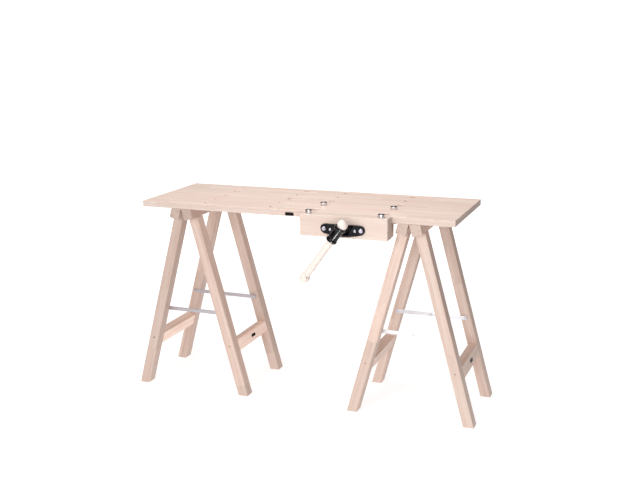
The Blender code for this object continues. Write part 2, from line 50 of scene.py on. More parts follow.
def linear(code):
    # sRGB hex to linear light
    parts = [int(code[i:i + 2], 16) / 255 for i in (0, 2, 4)]
    return (*[p / 12.92 if p <= 0.04045 else ((p + 0.055) / 1.055) ** 2.4 for p in parts], 1.0)


def setInputs(tree, node, inputs):
    # each input gets a plain value, or a link when it is another node's output
    for key, value in inputs.items():
        if isinstance(value, bpy.types.NodeSocket):
            tree.links.new(value, node.inputs[key])
        else:
            node.inputs[key].default_value = value


def addNode(tree, kind, inputs=(), output=0, **settings):
    # one node with its settings; inputs go by order or by name, and one output comes back
    node = tree.nodes.new(kind if "Node" in kind else "ShaderNode" + kind)
    for key, value in settings.items():
        setattr(node, key, value)
    setInputs(tree, node, inputs if isinstance(inputs, dict) else dict(enumerate(inputs)))
    return node.outputs[output]


def newMaterial(name):
    material = bpy.data.materials.new(name)
    material.use_nodes = True
    return material, material.node_tree, material.node_tree.nodes["Principled BSDF"]


woodLooks = {
    "panel": {"name": "oiledBeechPanel", "light": "F6E8DF", "dark": "E3CABC", "growth": 0.9, "lines": 0.55,
              "spread": 0.030, "pink": 0.15, "roughness": 0.46},
    "frame": {"name": "oiledBeechTimber", "light": "E9D7CB", "dark": "D0B3A5", "growth": 1.0, "lines": 0.60,
              "spread": 0.035, "pink": 0.10, "roughness": 0.50},
    "jaw": {"name": "planedBeechBlock", "light": "EADBD2", "dark": "D8C2B5", "growth": 0.8, "lines": 0.50,
            "spread": 0.020, "pink": 0.10, "roughness": 0.46},
    "handle": {"name": "turnedBeech", "light": "F4ECE7", "dark": "E6D6CA", "growth": 0.9, "lines": 0.75,
               "spread": 0.010, "pink": 0.05, "roughness": 0.40}}
panelBoards = {"stave": 0.0411, "shift": 4.5, "length": 0.41, "seed": 11.0}  # the worktop is glued up from staves
fingers = {"depth": 0.0019, "slope": 2.6}  # zigzag of the joints between lengths


def woodMaterial(look, panel=None):
    # Beech: even pale ground, faint growth bands along the board, short ray flecks, finger joints between lengths
    material, tree, shader = newMaterial(look["name"])
    grain = addNode(tree, "Attribute", (), "Vector", attribute_name="grain")
    gx, gy, gz = addNode(tree, "SeparateXYZ", [grain]).node.outputs
    finger = addNode(tree, "Math", (gx, fingers["depth"]), operation="PINGPONG")
    place = addNode(tree, "Math", (finger, fingers["slope"], gz), operation="MULTIPLY_ADD")
    if panel:
        across = addNode(tree, "Math", (gx, 1 / panel["stave"], panel["shift"]), operation="MULTIPLY_ADD")
        stave = addNode(tree, "Math", [across], operation="FLOOR")
        shuffle = addNode(tree, "TexWhiteNoise", {"W": stave}, noise_dimensions="1D")
        shuffle = addNode(tree, "Math", (shuffle, 7.0), operation="MULTIPLY")
        lengthwise = addNode(tree, "Math", (place, 1 / panel["length"], shuffle), operation="MULTIPLY_ADD")
        board = addNode(tree, "Math", [lengthwise], operation="FLOOR")
        cell = addNode(tree, "CombineXYZ", (stave, board, panel["seed"]))
        distances = []
        for count, size in ((lengthwise, panel["length"]), (across, panel["stave"])):
            away = addNode(tree, "Math", (count, 0.5), operation="PINGPONG")
            distances.append(addNode(tree, "Math", (away, size), operation="MULTIPLY"))
        aboveLow = aboveHigh = 0.0
    else:
        breaks = addNode(tree, "Attribute", (), "Vector", attribute_name="breaks")
        low, high, seed = addNode(tree, "SeparateXYZ", [breaks]).node.outputs
        aboveLow = addNode(tree, "Math", (place, low), operation="GREATER_THAN")
        aboveHigh = addNode(tree, "Math", (place, high), operation="GREATER_THAN")
        index = addNode(tree, "Math", (aboveLow, aboveHigh), operation="ADD")
        cell = addNode(tree, "CombineXYZ", (index, seed, 3.7))
        distances = []
        for joint in (low, high):
            away = addNode(tree, "Math", (place, joint), operation="SUBTRACT")
            distances.append(addNode(tree, "Math", [away], operation="ABSOLUTE"))
    near = addNode(tree, "Math", distances, operation="MINIMUM")
    # three chances for each board move its pattern and change its tone a little
    chances = addNode(tree, "TexWhiteNoise", {"Vector": cell}, "Color", noise_dimensions="3D")
    r1, r2, r3 = addNode(tree, "SeparateXYZ", [chances]).node.outputs
    slow = addNode(tree, "Math", (r1, 9.0), operation="MULTIPLY")
    slow = addNode(tree, "CombineXYZ", (slow, 0.0, gz))
    wobble = addNode(tree, "TexNoise", {"Vector": slow, "Scale": 3.2, "Detail": 1.0})
    wobble = addNode(tree, "Math", (wobble, 0.012, -0.006), operation="MULTIPLY_ADD")  # 6 mm either way
    x = addNode(tree, "Math", (gx, wobble), operation="ADD")
    x = addNode(tree, "Math", (x, r1), operation="ADD")
    y = addNode(tree, "Math", (wobble, 0.6, gy), operation="MULTIPLY_ADD")
    y = addNode(tree, "Math", (y, r2), operation="ADD")
    stretched = addNode(tree, "Math", (gz, 0.035, r3), operation="MULTIPLY_ADD")
    long = addNode(tree, "CombineXYZ", (x, y, stretched))
    growth = addNode(tree, "TexNoise", {"Vector": long, "Scale": 75.0, "Detail": 3.0, "Roughness": 0.55})  # 13 mm bands
    lines = addNode(tree, "TexNoise", {"Vector": long, "Scale": 560.0})  # 2 mm lines
    short = addNode(tree, "Math", (gz, 0.14), operation="MULTIPLY")
    short = addNode(tree, "CombineXYZ", (x, y, short))
    fleck = addNode(tree, "TexNoise", {"Vector": short, "Scale": 1150.0, "Detail": 0.0})  # 1 mm flecks
    fleck = addNode(tree, "MapRange", {"Value": fleck, "From Min": 0.60, "From Max": 0.72}, interpolation_type="SMOOTHSTEP")
    level = 0.5 - look["growth"] - look["lines"] / 2
    value = addNode(tree, "Math", (growth, look["growth"] * 2, level), operation="MULTIPLY_ADD")
    value = addNode(tree, "Math", (lines, look["lines"], value), operation="MULTIPLY_ADD", use_clamp=True)
    colour = addNode(tree, "Mix", {0: value, 6: linear(look["dark"]), 7: linear(look["light"])}, 2, data_type="RGBA")
    pink = addNode(tree, "Mix", {0: 1.0, 6: colour, 7: linear("FFE6DE")}, 2, data_type="RGBA", blend_type="MULTIPLY")
    amount = addNode(tree, "Math", (r2, look["pink"]), operation="MULTIPLY")
    colour = addNode(tree, "Mix", {0: amount, 6: colour, 7: pink}, 2, data_type="RGBA")
    # the lengths between finger joints have their own tones, and the same tone also carries the painted shade of the
    # west rails and the painted light of the stretchers; flecks, seams and end grain are darker
    tones = addNode(tree, "Attribute", (), "Vector", attribute_name="tone")
    toneLow, toneMiddle, toneHigh = addNode(tree, "SeparateXYZ", [tones]).node.outputs
    tone = toneLow
    for above, upper, lower in ((aboveLow, toneMiddle, toneLow), (aboveHigh, toneHigh, toneMiddle)):
        change = addNode(tree, "Math", (upper, lower), operation="SUBTRACT")
        tone = addNode(tree, "Math", (above, change, tone), operation="MULTIPLY_ADD")
    spread = addNode(tree, "Math", (r1, 2 * look["spread"], -look["spread"]), operation="MULTIPLY_ADD")
    tone = addNode(tree, "Math", (tone, spread), operation="ADD")
    seam = addNode(tree, "MapRange", {"Value": near, "From Min": 0.0005, "From Max": 0.0001}, interpolation_type="SMOOTHSTEP")
    ends = addNode(tree, "Attribute", (), "Fac", attribute_name="ends")
    for mask, depth in ((fleck, 0.09), (seam, 0.16), (ends, 0.18)):
        shade = addNode(tree, "Math", (mask, -depth, 1.0), operation="MULTIPLY_ADD")
        tone = addNode(tree, "Math", (tone, shade), operation="MULTIPLY")
    tone = addNode(tree, "CombineColor", (tone, tone, tone))
    colour = addNode(tree, "Mix", {0: 1.0, 6: colour, 7: tone}, 2, data_type="RGBA", blend_type="MULTIPLY")
    rough = addNode(tree, "Math", (growth, 0.16, look["roughness"] - 0.08), operation="MULTIPLY_ADD")
    rough = addNode(tree, "Math", (ends, 0.12, rough), operation="MULTIPLY_ADD")
    height = addNode(tree, "Math", (fleck, -0.6, lines), operation="MULTIPLY_ADD")
    height = addNode(tree, "Math", (seam, -0.8, height), operation="MULTIPLY_ADD")
    bump = addNode(tree, "Bump", {"Strength": 0.5, "Distance": 0.00012, "Height": height})
    setInputs(tree, shader, {"Base Color": colour, "Roughness": rough, "IOR": 1.47, "Specular IOR Level": 0.35,
                             "Normal": bump})
    return material


metalLooks = {
    "bar": {"name": "brightZincStrip", "colour": "DCDCE0", "roughness": 0.34, "smudge": 0.08},
    # the west bars' zinc: the same strip as bar, its darker colour painted shade, a little rougher and more smudged
    "shadedBar": {"name": "zincStripPaintedShade", "colour": "C4BEC2", "roughness": 0.40, "smudge": 0.14},
    "dog": {"name": "turnedBrightSteel", "colour": "D6D4D8", "roughness": 0.10, "smudge": 0.05},
    "rod": {"name": "groundSteelBar", "colour": "D6D2E0", "roughness": 0.28, "smudge": 0.08},
    "screw": {"name": "galvanisedScrew", "colour": "CFCDDA", "roughness": 0.26, "smudge": 0.08},
    "rivet": {"name": "tubularZincRivet", "colour": "CFCDD6", "roughness": 0.30, "smudge": 0.10},
    "dark": {"name": "phosphatedScrew", "colour": "3A3434", "roughness": 0.45, "smudge": 0.12},
    "hinge": {"name": "rolledHingeSteel", "colour": "A9A7AE", "roughness": 0.40, "smudge": 0.14}}


def metalMaterial(look):
    # Bare or plated steel: near-neutral reflections broken by fine drawing lines and faint smudges
    material, tree, shader = newMaterial(look["name"])
    smear = look["smudge"]
    grain = addNode(tree, "Attribute", (), "Vector", attribute_name="grain")
    gx, gy, gz = addNode(tree, "SeparateXYZ", [grain]).node.outputs
    flat = addNode(tree, "CombineXYZ", (gx, gy, 0.0))
    radius = addNode(tree, "VectorMath", [flat], "Value", operation="LENGTH")
    turning = addNode(tree, "CombineXYZ", (radius, 0.0, gz))
    rings = addNode(tree, "TexNoise", {"Vector": turning, "Scale": 5200.0})  # 0.2 mm tool marks
    smudge = addNode(tree, "TexNoise", {"Vector": grain, "Scale": 160.0, "Detail": 3.0})
    spots = addNode(tree, "TexNoise", {"Vector": grain, "Scale": 900.0, "Detail": 1.0})
    spots = addNode(tree, "MapRange", {"Value": spots, "From Min": 0.66, "From Max": 0.78}, interpolation_type="SMOOTHSTEP")
    tint = addNode(tree, "Math", (smudge, smear, 1 - smear / 2), operation="MULTIPLY_ADD")
    tint = addNode(tree, "Math", (spots, -0.6 * smear, tint), operation="MULTIPLY_ADD")
    tint = addNode(tree, "CombineColor", (tint, tint, tint))
    colour = addNode(tree, "Mix", {0: 1.0, 6: linear(look["colour"]), 7: tint}, 2, data_type="RGBA", blend_type="MULTIPLY")
    rough = addNode(tree, "Math", (smudge, 1.6 * smear, look["roughness"] - 0.8 * smear), operation="MULTIPLY_ADD")
    rough = addNode(tree, "Math", (rings, 0.06, rough), operation="MULTIPLY_ADD")
    bump = addNode(tree, "Bump", {"Strength": 0.35, "Distance": 0.00002, "Height": rings})
    setInputs(tree, shader, {"Base Color": colour, "Metallic": 1.0, "Roughness": rough, "Normal": bump})
    return material


enamelLooks = {
    "enamel": {"name": "blackGlossEnamel", "colour": "07060A", "roughness": 0.22, "specular": 0.06, "coat": 0.60},
    "plate": {"name": "anodisedNamePlate", "colour": "0C0A0D", "roughness": 0.40, "specular": 0.14, "coat": 0.05}}


def enamelMaterial(look):
    # Sprayed enamel: black body, sharp clear highlight over a faint orange-peel skin, dust in the hollows
    material, tree, shader = newMaterial(look["name"])
    grain = addNode(tree, "Attribute", (), "Vector", attribute_name="grain")
    skin = addNode(tree, "TexNoise", {"Vector": grain, "Scale": 420.0})  # 2 mm ripples
    dust = addNode(tree, "TexNoise", {"Vector": grain, "Scale": 130.0, "Detail": 4.0})
    dust = addNode(tree, "MapRange", {"Value": dust, "From Min": 0.55, "From Max": 0.80}, interpolation_type="SMOOTHSTEP")
    amount = addNode(tree, "Math", (dust, 0.06), operation="MULTIPLY")
    colour = addNode(tree, "Mix", {0: amount, 6: linear(look["colour"]), 7: linear("3A373C")}, 2, data_type="RGBA")
    rough = addNode(tree, "Math", (dust, 0.14, look["roughness"]), operation="MULTIPLY_ADD")
    bump = addNode(tree, "Bump", {"Strength": 0.4, "Distance": 0.00006, "Height": skin})
    setInputs(tree, shader, {"Base Color": colour, "Roughness": rough, "Specular IOR Level": look["specular"],
                             "Coat Weight": look["coat"], "Coat Roughness": 0.07, "Normal": bump})
    return material


materials = {}
for key, look in woodLooks.items():
    materials[key] = woodMaterial(look, panelBoards if key == "panel" else None)
for key, look in metalLooks.items():
    materials[key] = metalMaterial(look)
for key, look in enamelLooks.items():
    materials[key] = enamelMaterial(look)
print("materials", len(materials))


def meshFrom(builder):
    bmesh.ops.recalc_face_normals(builder, faces=builder.faces[:])
    mesh = bpy.data.meshes.new("shape")
    builder.to_mesh(mesh)
    builder.free()
    return mesh


def prism(outline, start, end, rounding=0.0, steps=3):
    # an outline of (x, z) points drawn out along Y, every edge rounded
    builder = bmesh.new()
    face = builder.faces.new([builder.verts.new((x, start, z)) for x, z in outline])
    grown = bmesh.ops.extrude_face_region(builder, geom=[face])
    moved = [item for item in grown["geom"] if isinstance(item, bmesh.types.BMVert)]
    bmesh.ops.translate(builder, verts=moved, vec=(0, end - start, 0))
    bmesh.ops.recalc_face_normals(builder, faces=builder.faces[:])
    if rounding > 0:
        sharp = [e for e in builder.edges if e.calc_face_angle() > radians(25)]
        bmesh.ops.bevel(builder, geom=sharp, offset=rounding, segments=steps, profile=0.5, affect="EDGES", clamp_overlap=True)
    return meshFrom(builder)


def block(low, high, rounding=0.0, steps=3):
    return prism([(low[0], low[2]), (high[0], low[2]), (high[0], high[2]), (low[0], high[2])], low[1], high[1], rounding, steps)


def filleted(points, steps=4):
    # rounds each corner of a (radius, height, fillet) line
    line = []
    for i, point in enumerate(points):
        here = Vector(point[:2])
        fillet = point[2] if len(point) > 2 else 0.0
        if not fillet or i in (0, len(points) - 1):
            line.append(here)
            continue
        before, after = Vector(points[i - 1][:2]) - here, Vector(points[i + 1][:2]) - here
        opening = before.angle(after)
        reach = min(fillet / tan(opening / 2), before.length * 0.49, after.length * 0.49)
        start, end = here + before.normalized() * reach, here + after.normalized() * reach
        for step in range(steps + 1):
            t = step / steps
            line.append(start * (1 - t) ** 2 + here * 2 * t * (1 - t) + end * t ** 2)
    return [(p.x, p.y) for p in line]


def turned(points, matrix=None, segments=64, steps=4):
    # a (radius, height, fillet) line turned about Z; both ends are closed on the axis
    line = filleted(points, steps)
    builder = bmesh.new()
    rings = []
    for radius, height in line:
        count = segments if radius > 1e-6 else 1
        angles = [2 * pi * i / count for i in range(count)]
        rings.append([builder.verts.new((radius * cos(angle), radius * sin(angle), height)) for angle in angles])
    for low, high in zip(rings, rings[1:]):
        for i in range(segments):
            j = (i + 1) % segments
            corners = ([low[i], low[j]] if len(low) > 1 else [low[0]]) + ([high[j], high[i]] if len(high) > 1 else [high[0]])
            if len(corners) > 2:
                builder.faces.new(corners)
    for ring in (rings[0], rings[-1]):
        if len(ring) > 1:
            builder.faces.new(ring)
    mesh = meshFrom(builder)
    if matrix:
        mesh.transform(matrix)
    return mesh


def toward(place, axis):
    return Matrix.Translation(place) @ Vector((0, 0, 1)).rotation_difference(Vector(axis)).to_matrix().to_4x4()


def rod(radius, place, axis, start, end, segments=48):
    return turned([(radius, start), (radius, end)], toward(place, axis), segments)


def merged(meshes):
    builder = bmesh.new()
    for mesh in meshes:
        builder.from_mesh(mesh)
        bpy.data.meshes.remove(mesh)
    mesh = bpy.data.meshes.new("merged")
    builder.to_mesh(mesh)
    builder.free()
    return mesh


def boolean(base, tool, operation="DIFFERENCE"):
    objects = [bpy.data.objects.new("work", item) for item in (base, tool)]
    for item in objects:
        bpy.context.scene.collection.objects.link(item)
    modifier = objects[0].modifiers.new("shape", "BOOLEAN")
    modifier.operation, modifier.solver, modifier.object = operation, "EXACT", objects[1]
    bpy.context.view_layer.update()
    result = bpy.data.meshes.new_from_object(objects[0].evaluated_get(bpy.context.evaluated_depsgraph_get()))
    for item in objects:
        bpy.data.objects.remove(item)
    for item in (base, tool):
        bpy.data.meshes.remove(item)
    return result


def cut(base, tools):
    return boolean(base, merged(tools))


seeds = {"next": 1}


def addAttribute(mesh, name, kind, domain, field, values):
    attribute = mesh.attributes.get(name) or mesh.attributes.new(name, kind, domain)
    attribute.data.foreach_set(field, values)


def piece(name, mesh, key, body, replaces=(), place=None, grain=None, along=2, breaks=(9.0, 9.0), tones=(1.0, 1.0, 1.0),
          smooth=32):
    # place moves the mesh into the row frame; grain is the frame in which the board's length lies on axis `along`
    seeds["next"] += 1
    seed = seeds["next"] * 0.618
    if place:
        mesh.transform(place)
    inverse = (grain or place or Matrix.Identity(4)).inverted()
    order = {0: (1, 2, 0), 1: (0, 2, 1), 2: (0, 1, 2)}[along]
    coordinates = []
    for vertex in mesh.vertices:
        local = inverse @ vertex.co
        coordinates += [local[order[0]], local[order[1]], local[order[2]]]
    addAttribute(mesh, "grain", "FLOAT_VECTOR", "POINT", "vector", coordinates)
    if key in woodLooks:
        axis = (inverse.inverted().to_3x3() @ Vector([1.0 if i == along else 0.0 for i in range(3)])).normalized()
        count = len(mesh.vertices)
        addAttribute(mesh, "breaks", "FLOAT_VECTOR", "POINT", "vector", [*breaks, seed] * count)
        # tone: each length's own wood tone, and on rails and stretchers painted light and shade
        addAttribute(mesh, "tone", "FLOAT_VECTOR", "POINT", "vector", list(tones) * count)
        ends = [1.0 if abs(face.normal.dot(axis)) > 0.8 else 0.0 for face in mesh.polygons]
        addAttribute(mesh, "ends", "FLOAT", "FACE", "value", ends)
    mesh.shade_smooth()
    mesh.set_sharp_from_angle(angle=radians(smooth))
    draft = bpy.data.objects.new("draft", mesh)
    bpy.context.scene.collection.objects.link(draft)
    weighted = draft.modifiers.new("even", "WEIGHTED_NORMAL")
    weighted.keep_sharp = True
    bpy.context.view_layer.update()
    graph = bpy.context.evaluated_depsgraph_get()
    final = bpy.data.meshes.new_from_object(draft.evaluated_get(graph), preserve_all_data_layers=True, depsgraph=graph)
    bpy.data.objects.remove(draft)
    bpy.data.meshes.remove(mesh)
    final.name = name
    final.materials.clear()
    final.materials.append(materials[key])
    made = bpy.data.objects.new(name, final)
    bpy.context.scene.collection.objects.link(made)
    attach(made, body)
    if replaces:
        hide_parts(*replaces)
    return made


def newTree(name, inputs):
    tree = bpy.data.node_groups.new(name, "GeometryNodeTree")
    tree.interface.new_socket("Geometry", in_out="OUTPUT", socket_type="NodeSocketGeometry")
    tree.interface.new_socket("Geometry", in_out="INPUT", socket_type="NodeSocketGeometry")
    for label, kind, default in inputs + [("Material", "Material", None)]:
        socket = tree.interface.new_socket(label, in_out="INPUT", socket_type="NodeSocket" + kind)
        if default is not None:
            socket.default_value = default
    start = tree.nodes.new("NodeGroupInput")
    end = tree.nodes.new("NodeGroupOutput")
    return tree, start.outputs, end


def finishTree(tree, end, geometry, material):
    real = addNode(tree, "GeometryNodeRealizeInstances", [geometry])
    painted = addNode(tree, "GeometryNodeSetMaterial", {"Geometry": real, "Material": material})
    tree.links.new(painted, end.inputs[0])
    return tree


def centredLine(tree, count, step, axis):
    # points along X (0) or Z (2), with the middle of the row at the origin
    spaces = addNode(tree, "Math", (count, 1.0), operation="SUBTRACT")
    half = addNode(tree, "Math", (step, -0.5), operation="MULTIPLY")
    first = addNode(tree, "Math", (spaces, half), operation="MULTIPLY")
    start = addNode(tree, "CombineXYZ", {axis: first})
    offset = addNode(tree, "CombineXYZ", {axis: step})
    return addNode(tree, "GeometryNodeMeshLine", {"Count": count, "Start Location": start, "Offset": offset})


def grown(tree, values):
    draft = bpy.data.objects.new("draft", bpy.data.meshes.new("draft"))
    bpy.context.scene.collection.objects.link(draft)
    modifier = draft.modifiers.new("grow", "NODES")
    modifier.node_group = tree
    for item in tree.interface.items_tree:
        if item.item_type == "SOCKET" and item.in_out == "INPUT" and item.name in values:
            modifier[item.identifier] = values[item.name]
    bpy.context.view_layer.update()
    mesh = bpy.data.meshes.new_from_object(draft.evaluated_get(bpy.context.evaluated_depsgraph_get()))
    draft.modifiers.remove(modifier)
    bpy.data.objects.remove(draft)
    return mesh


def screwRowTree():
    # a row of countersunk cross-recessed screws along X, heads up
    tree, given, end = newTree("screwRow", [
        ("Count", "Int", 4), ("Spacing", "Float", 0.08), ("Head Radius", "Float", 0.003), ("Head Height", "Float", 0.0012),
        ("Crown Radius", "Float", 0.0026), ("Slot Length", "Float", 0.0036), ("Slot Width", "Float", 0.0008),
        ("Slot Depth", "Float", 0.0009)])
    line = centredLine(tree, given["Count"], given["Spacing"], 0)
    head = addNode(tree, "GeometryNodeMeshCone", {
        "Vertices": 24, "Side Segments": 2, "Radius Top": given["Crown Radius"], "Radius Bottom": given["Head Radius"],
        "Depth": given["Head Height"]})
    sunk = addNode(tree, "Math", (given["Slot Depth"], 0.5), operation="MULTIPLY")
    lift = addNode(tree, "Math", (given["Head Height"], sunk), operation="SUBTRACT")
    lift = addNode(tree, "CombineXYZ", {2: lift})
    height = addNode(tree, "Math", (given["Slot Depth"], 1.2), operation="MULTIPLY")
    for x, y in ((given["Slot Length"], given["Slot Width"]), (given["Slot Width"], given["Slot Length"])):
        size = addNode(tree, "CombineXYZ", (x, y, height))
        arm = addNode(tree, "GeometryNodeMeshCube", {"Size": size})
        arm = addNode(tree, "GeometryNodeTransform", {"Geometry": arm, "Translation": lift})
        head = addNode(tree, "GeometryNodeMeshBoolean", (head, arm), operation="DIFFERENCE", solver="EXACT")
    placed = addNode(tree, "GeometryNodeInstanceOnPoints", {"Points": line, "Instance": head})
    return finishTree(tree, end, placed, given["Material"])


def threadTree():
    # a round core along Z with a square thread wound on it
    tree, given, end = newTree("threadedCore", [
        ("Turns", "Float", 20.0), ("Pitch", "Float", 0.005), ("Root Radius", "Float", 0.008), ("Crest Radius", "Float", 0.01)])
    length = addNode(tree, "Math", (given["Turns"], given["Pitch"]), operation="MULTIPLY")
    middle = addNode(tree, "Math", (given["Root Radius"], given["Crest Radius"]), operation="ADD")
    middle = addNode(tree, "Math", (middle, 0.5), operation="MULTIPLY")
    spiral = addNode(tree, "GeometryNodeCurveSpiral", {
        "Resolution": 40, "Rotations": given["Turns"], "Start Radius": middle, "End Radius": middle, "Height": length})
    upright = addNode(tree, "GeometryNodeSetCurveNormal", {"Curve": spiral}, mode="Z_UP")
    tall = addNode(tree, "Math", (given["Crest Radius"], given["Root Radius"]), operation="SUBTRACT")
    tall = addNode(tree, "Math", (tall, 0.0004), operation="ADD")
    wide = addNode(tree, "Math", (given["Pitch"], 0.46), operation="MULTIPLY")
    profile = addNode(tree, "GeometryNodeCurvePrimitiveQuadrilateral", {"Width": tall, "Height": wide})
    wound = addNode(tree, "GeometryNodeCurveToMesh", {"Curve": upright, "Profile Curve": profile, "Fill Caps": True})
    core = addNode(tree, "GeometryNodeMeshCylinder", {"Vertices": 48, "Radius": given["Root Radius"], "Depth": length})
    half = addNode(tree, "Math", (length, 0.5), operation="MULTIPLY")
    half = addNode(tree, "CombineXYZ", {2: half})
    placed = addNode(tree, "GeometryNodeTransform", {"Geometry": core, "Translation": half})
    both = addNode(tree, "GeometryNodeJoinGeometry", [wound])
    tree.links.new(placed, both.node.inputs[0])
    return finishTree(tree, end, both, given["Material"])


def knuckleTree():
    # rolled hinge knuckles: tubes in a row along Z, each open along the pin
    tree, given, end = newTree("hingeKnuckles", [
        ("Count", "Int", 3), ("Step", "Float", 0.1), ("Length", "Float", 0.07), ("Outer Radius", "Float", 0.003),
        ("Inner Radius", "Float", 0.0016)])
    line = centredLine(tree, given["Count"], given["Step"], 2)
    outer = addNode(tree, "GeometryNodeMeshCylinder", {
        "Vertices": 32, "Radius": given["Outer Radius"], "Depth": given["Length"]})
    longer = addNode(tree, "Math", (given["Length"], 1.2), operation="MULTIPLY")
    inner = addNode(tree, "GeometryNodeMeshCylinder", {"Vertices": 32, "Radius": given["Inner Radius"], "Depth": longer})
    tube = addNode(tree, "GeometryNodeMeshBoolean", (outer, inner), operation="DIFFERENCE", solver="EXACT")
    placed = addNode(tree, "GeometryNodeInstanceOnPoints", {"Points": line, "Instance": tube})
    return finishTree(tree, end, placed, given["Material"])


def ribTree():
    # raised rings in a row along Z, as cast on the sleeve's collar
    tree, given, end = newTree("castRibs", [
        ("Count", "Int", 3), ("Step", "Float", 0.002), ("Radius", "Float", 0.015), ("Rib Radius", "Float", 0.0005)])
    step = addNode(tree, "CombineXYZ", {2: given["Step"]})
    line = addNode(tree, "GeometryNodeMeshLine", {"Count": given["Count"], "Offset": step})
    ring = addNode(tree, "GeometryNodeCurvePrimitiveCircle", {"Resolution": 64, "Radius": given["Radius"]})
    bead = addNode(tree, "GeometryNodeCurvePrimitiveCircle", {"Resolution": 12, "Radius": given["Rib Radius"]})
    rib = addNode(tree, "GeometryNodeCurveToMesh", {"Curve": ring, "Profile Curve": bead})
    placed = addNode(tree, "GeometryNodeInstanceOnPoints", {"Points": line, "Instance": rib})
    return finishTree(tree, end, placed, given["Material"])


screwRow = screwRowTree()
threadedCore = threadTree()
hingeKnuckles = knuckleTree()
castRibs = ribTree()


def screws(key, count, spacing, radius, height, matrix=None):
    values = {"Count": count, "Spacing": spacing, "Head Radius": radius, "Head Height": height, "Crown Radius": radius * 0.86,
              "Slot Length": radius * 1.15, "Slot Width": radius * 0.26, "Slot Depth": height * 0.6, "Material": materials[key]}
    mesh = grown(screwRow, values)
    if matrix:
        mesh.transform(matrix)
    return mesh


# worktop, its plate and the dogs
topLook = {"length": 1.050, "depth": 0.370, "thickness": 0.020, "edgeRound": 0.0018, "holeRadius": 0.0100,
           "holeChamfer": 0.0008, "columns": (-0.3055, -0.0735, 0.0735, 0.3055), "rowPitch": 0.0750}
underside = bench["height"] - topLook["thickness"]
frontEdge = -topLook["depth"] / 2
worldMatrix = Matrix.Translation((0, shiftY, 0))


def holeTool(x, y, low, high, chamfer=topLook["holeChamfer"]):
    # a dog hole's cutter, flared where it leaves either face
    radius, over = topLook["holeRadius"], 0.004
    flare = radius + chamfer + over
    line = [(flare, low - over), (radius, low + chamfer), (radius, high - chamfer), (flare, high + over)]
    return turned(line, Matrix.Translation((x, y, 0)), 48)


def buildTop():
    half = topLook["length"] / 2
    slab = block((-half, frontEdge, underside), (half, -frontEdge, bench["height"]), topLook["edgeRound"])
    tools = []
    for x in topLook["columns"]:
        for row in range(5):
            tools.append(holeTool(x, (row - 2) * topLook["rowPitch"], underside, bench["height"]))
    piece("topBoard", cut(slab, tools), "panel", "bench_top", ["worktop"], worldMatrix, along=0)


plateLook = {"length": 0.0280, "height": 0.0100, "thickness": 0.0012, "corner": 0.0020, "edgeRound": 0.0003,
             "lowering": 0.0024}


def plateMesh():
    # a thin plate with round corners and a softened rim, lying in XZ with its back at y = 0
    outline = []
    for turn, sideX, sideZ in ((0, 1, 1), (1, -1, 1), (2, -1, -1), (3, 1, -1)):
        centreX = sideX * (plateLook["length"] / 2 - plateLook["corner"])
        centreZ = sideZ * (plateLook["height"] / 2 - plateLook["corner"])
        for step in range(7):
            angle = (turn + step / 6) * pi / 2
            outline.append((centreX + plateLook["corner"] * cos(angle), centreZ + plateLook["corner"] * sin(angle)))
    return prism(outline, -plateLook["thickness"], 0, plateLook["edgeRound"], 2)


def buildNamePlate():
    height = bench["height"] - topLook["thickness"] / 2 - plateLook["lowering"]
    place = worldMatrix @ Matrix.Translation((0, frontEdge - gap, height))
    piece("edgePlate", plateMesh(), "plate", "bench_top", ["name_plate"], place)


dogLook = {"headRadius": 0.0110, "headHeight": 0.0100, "shankRadius": 0.0097, "shankLength": 0.0450,
           "rimRound": 0.0014, "grooveDepth": 0.0005}


def buildDog(name, node, body, x, y):
    look = dogLook
    neck = look["shankRadius"] - look["grooveDepth"]
    line = [(0, -look["shankLength"]), (look["shankRadius"] - 0.001, -look["shankLength"], 0.0003),
            (look["shankRadius"], 0.001 - look["shankLength"], 0.0003), (look["shankRadius"], -0.0012), (neck, -0.0008),
            (neck, gap), (look["headRadius"] - 0.0006, gap), (look["headRadius"], gap + 0.0006, 0.0004),
            (look["headRadius"], look["headHeight"], look["rimRound"]), (0.0042, look["headHeight"], 0.0003),
            (0.0040, look["headHeight"] - 0.0004, 0.0003), (0, look["headHeight"] - 0.0004)]
    piece(name, turned(line), "dog", body, [node], Matrix.Translation((x, y + shiftY, bench["height"])))


# vise; its pieces are built around the spindle axis
viseLook = {"x": 0.1915, "drop": 0.0215, "jawWidth": 0.2800, "jawThickness": 0.0430, "jawHeight": 0.0673,
            "rearThickness": 0.0220, "rearHeight": 0.0450, "edgeRound": 0.0022}
viseHeight = underside - viseLook["drop"]
jawBack = frontEdge - gap
jawFront = jawBack - viseLook["jawThickness"]
rearJawBack = frontEdge + viseLook["rearThickness"]
castingFront = rearJawBack + gap
viseMatrix = Matrix.Translation((viseLook["x"], shiftY, viseHeight))
flangeLook = {"length": 0.1415, "top": 0.0170, "bottom": 0.0205, "thickness": 0.0050, "endRadius": 0.0150,
              "edgeRound": 0.0015, "rodSpacing": 0.1180, "screwSpacing": 0.0780, "screwHole": 0.0028}
flangeBack = jawFront - gap
flangeFront = flangeBack - flangeLook["thickness"]


def flangeOutline(inset=0.0, segments=20):
    look = flangeLook
    radius = look["endRadius"] - inset
    endX = look["length"] / 2 - look["endRadius"]
    endZ = look["top"] - look["endRadius"]
    bottom = look["bottom"] - inset
    drop = bottom + endZ
    bulge = (endX ** 2 + drop ** 2 - radius ** 2) / (2 * (drop - radius))
    centre = bulge - bottom
    meeting = atan2(endZ - centre, endX)
    points = []
    for step in range(segments + 1):
        angle = pi / 2 + (meeting - pi / 2) * step / segments
        points.append((endX + radius * cos(angle), endZ + radius * sin(angle)))
    for step in range(1, segments + 1):
        angle = meeting + (-pi / 2 - meeting) * step / segments
        points.append((bulge * cos(angle), centre + bulge * sin(angle)))
    return points + [(-x, z) for x, z in reversed(points[1:-1])] + [(-points[0][0], points[0][1])]


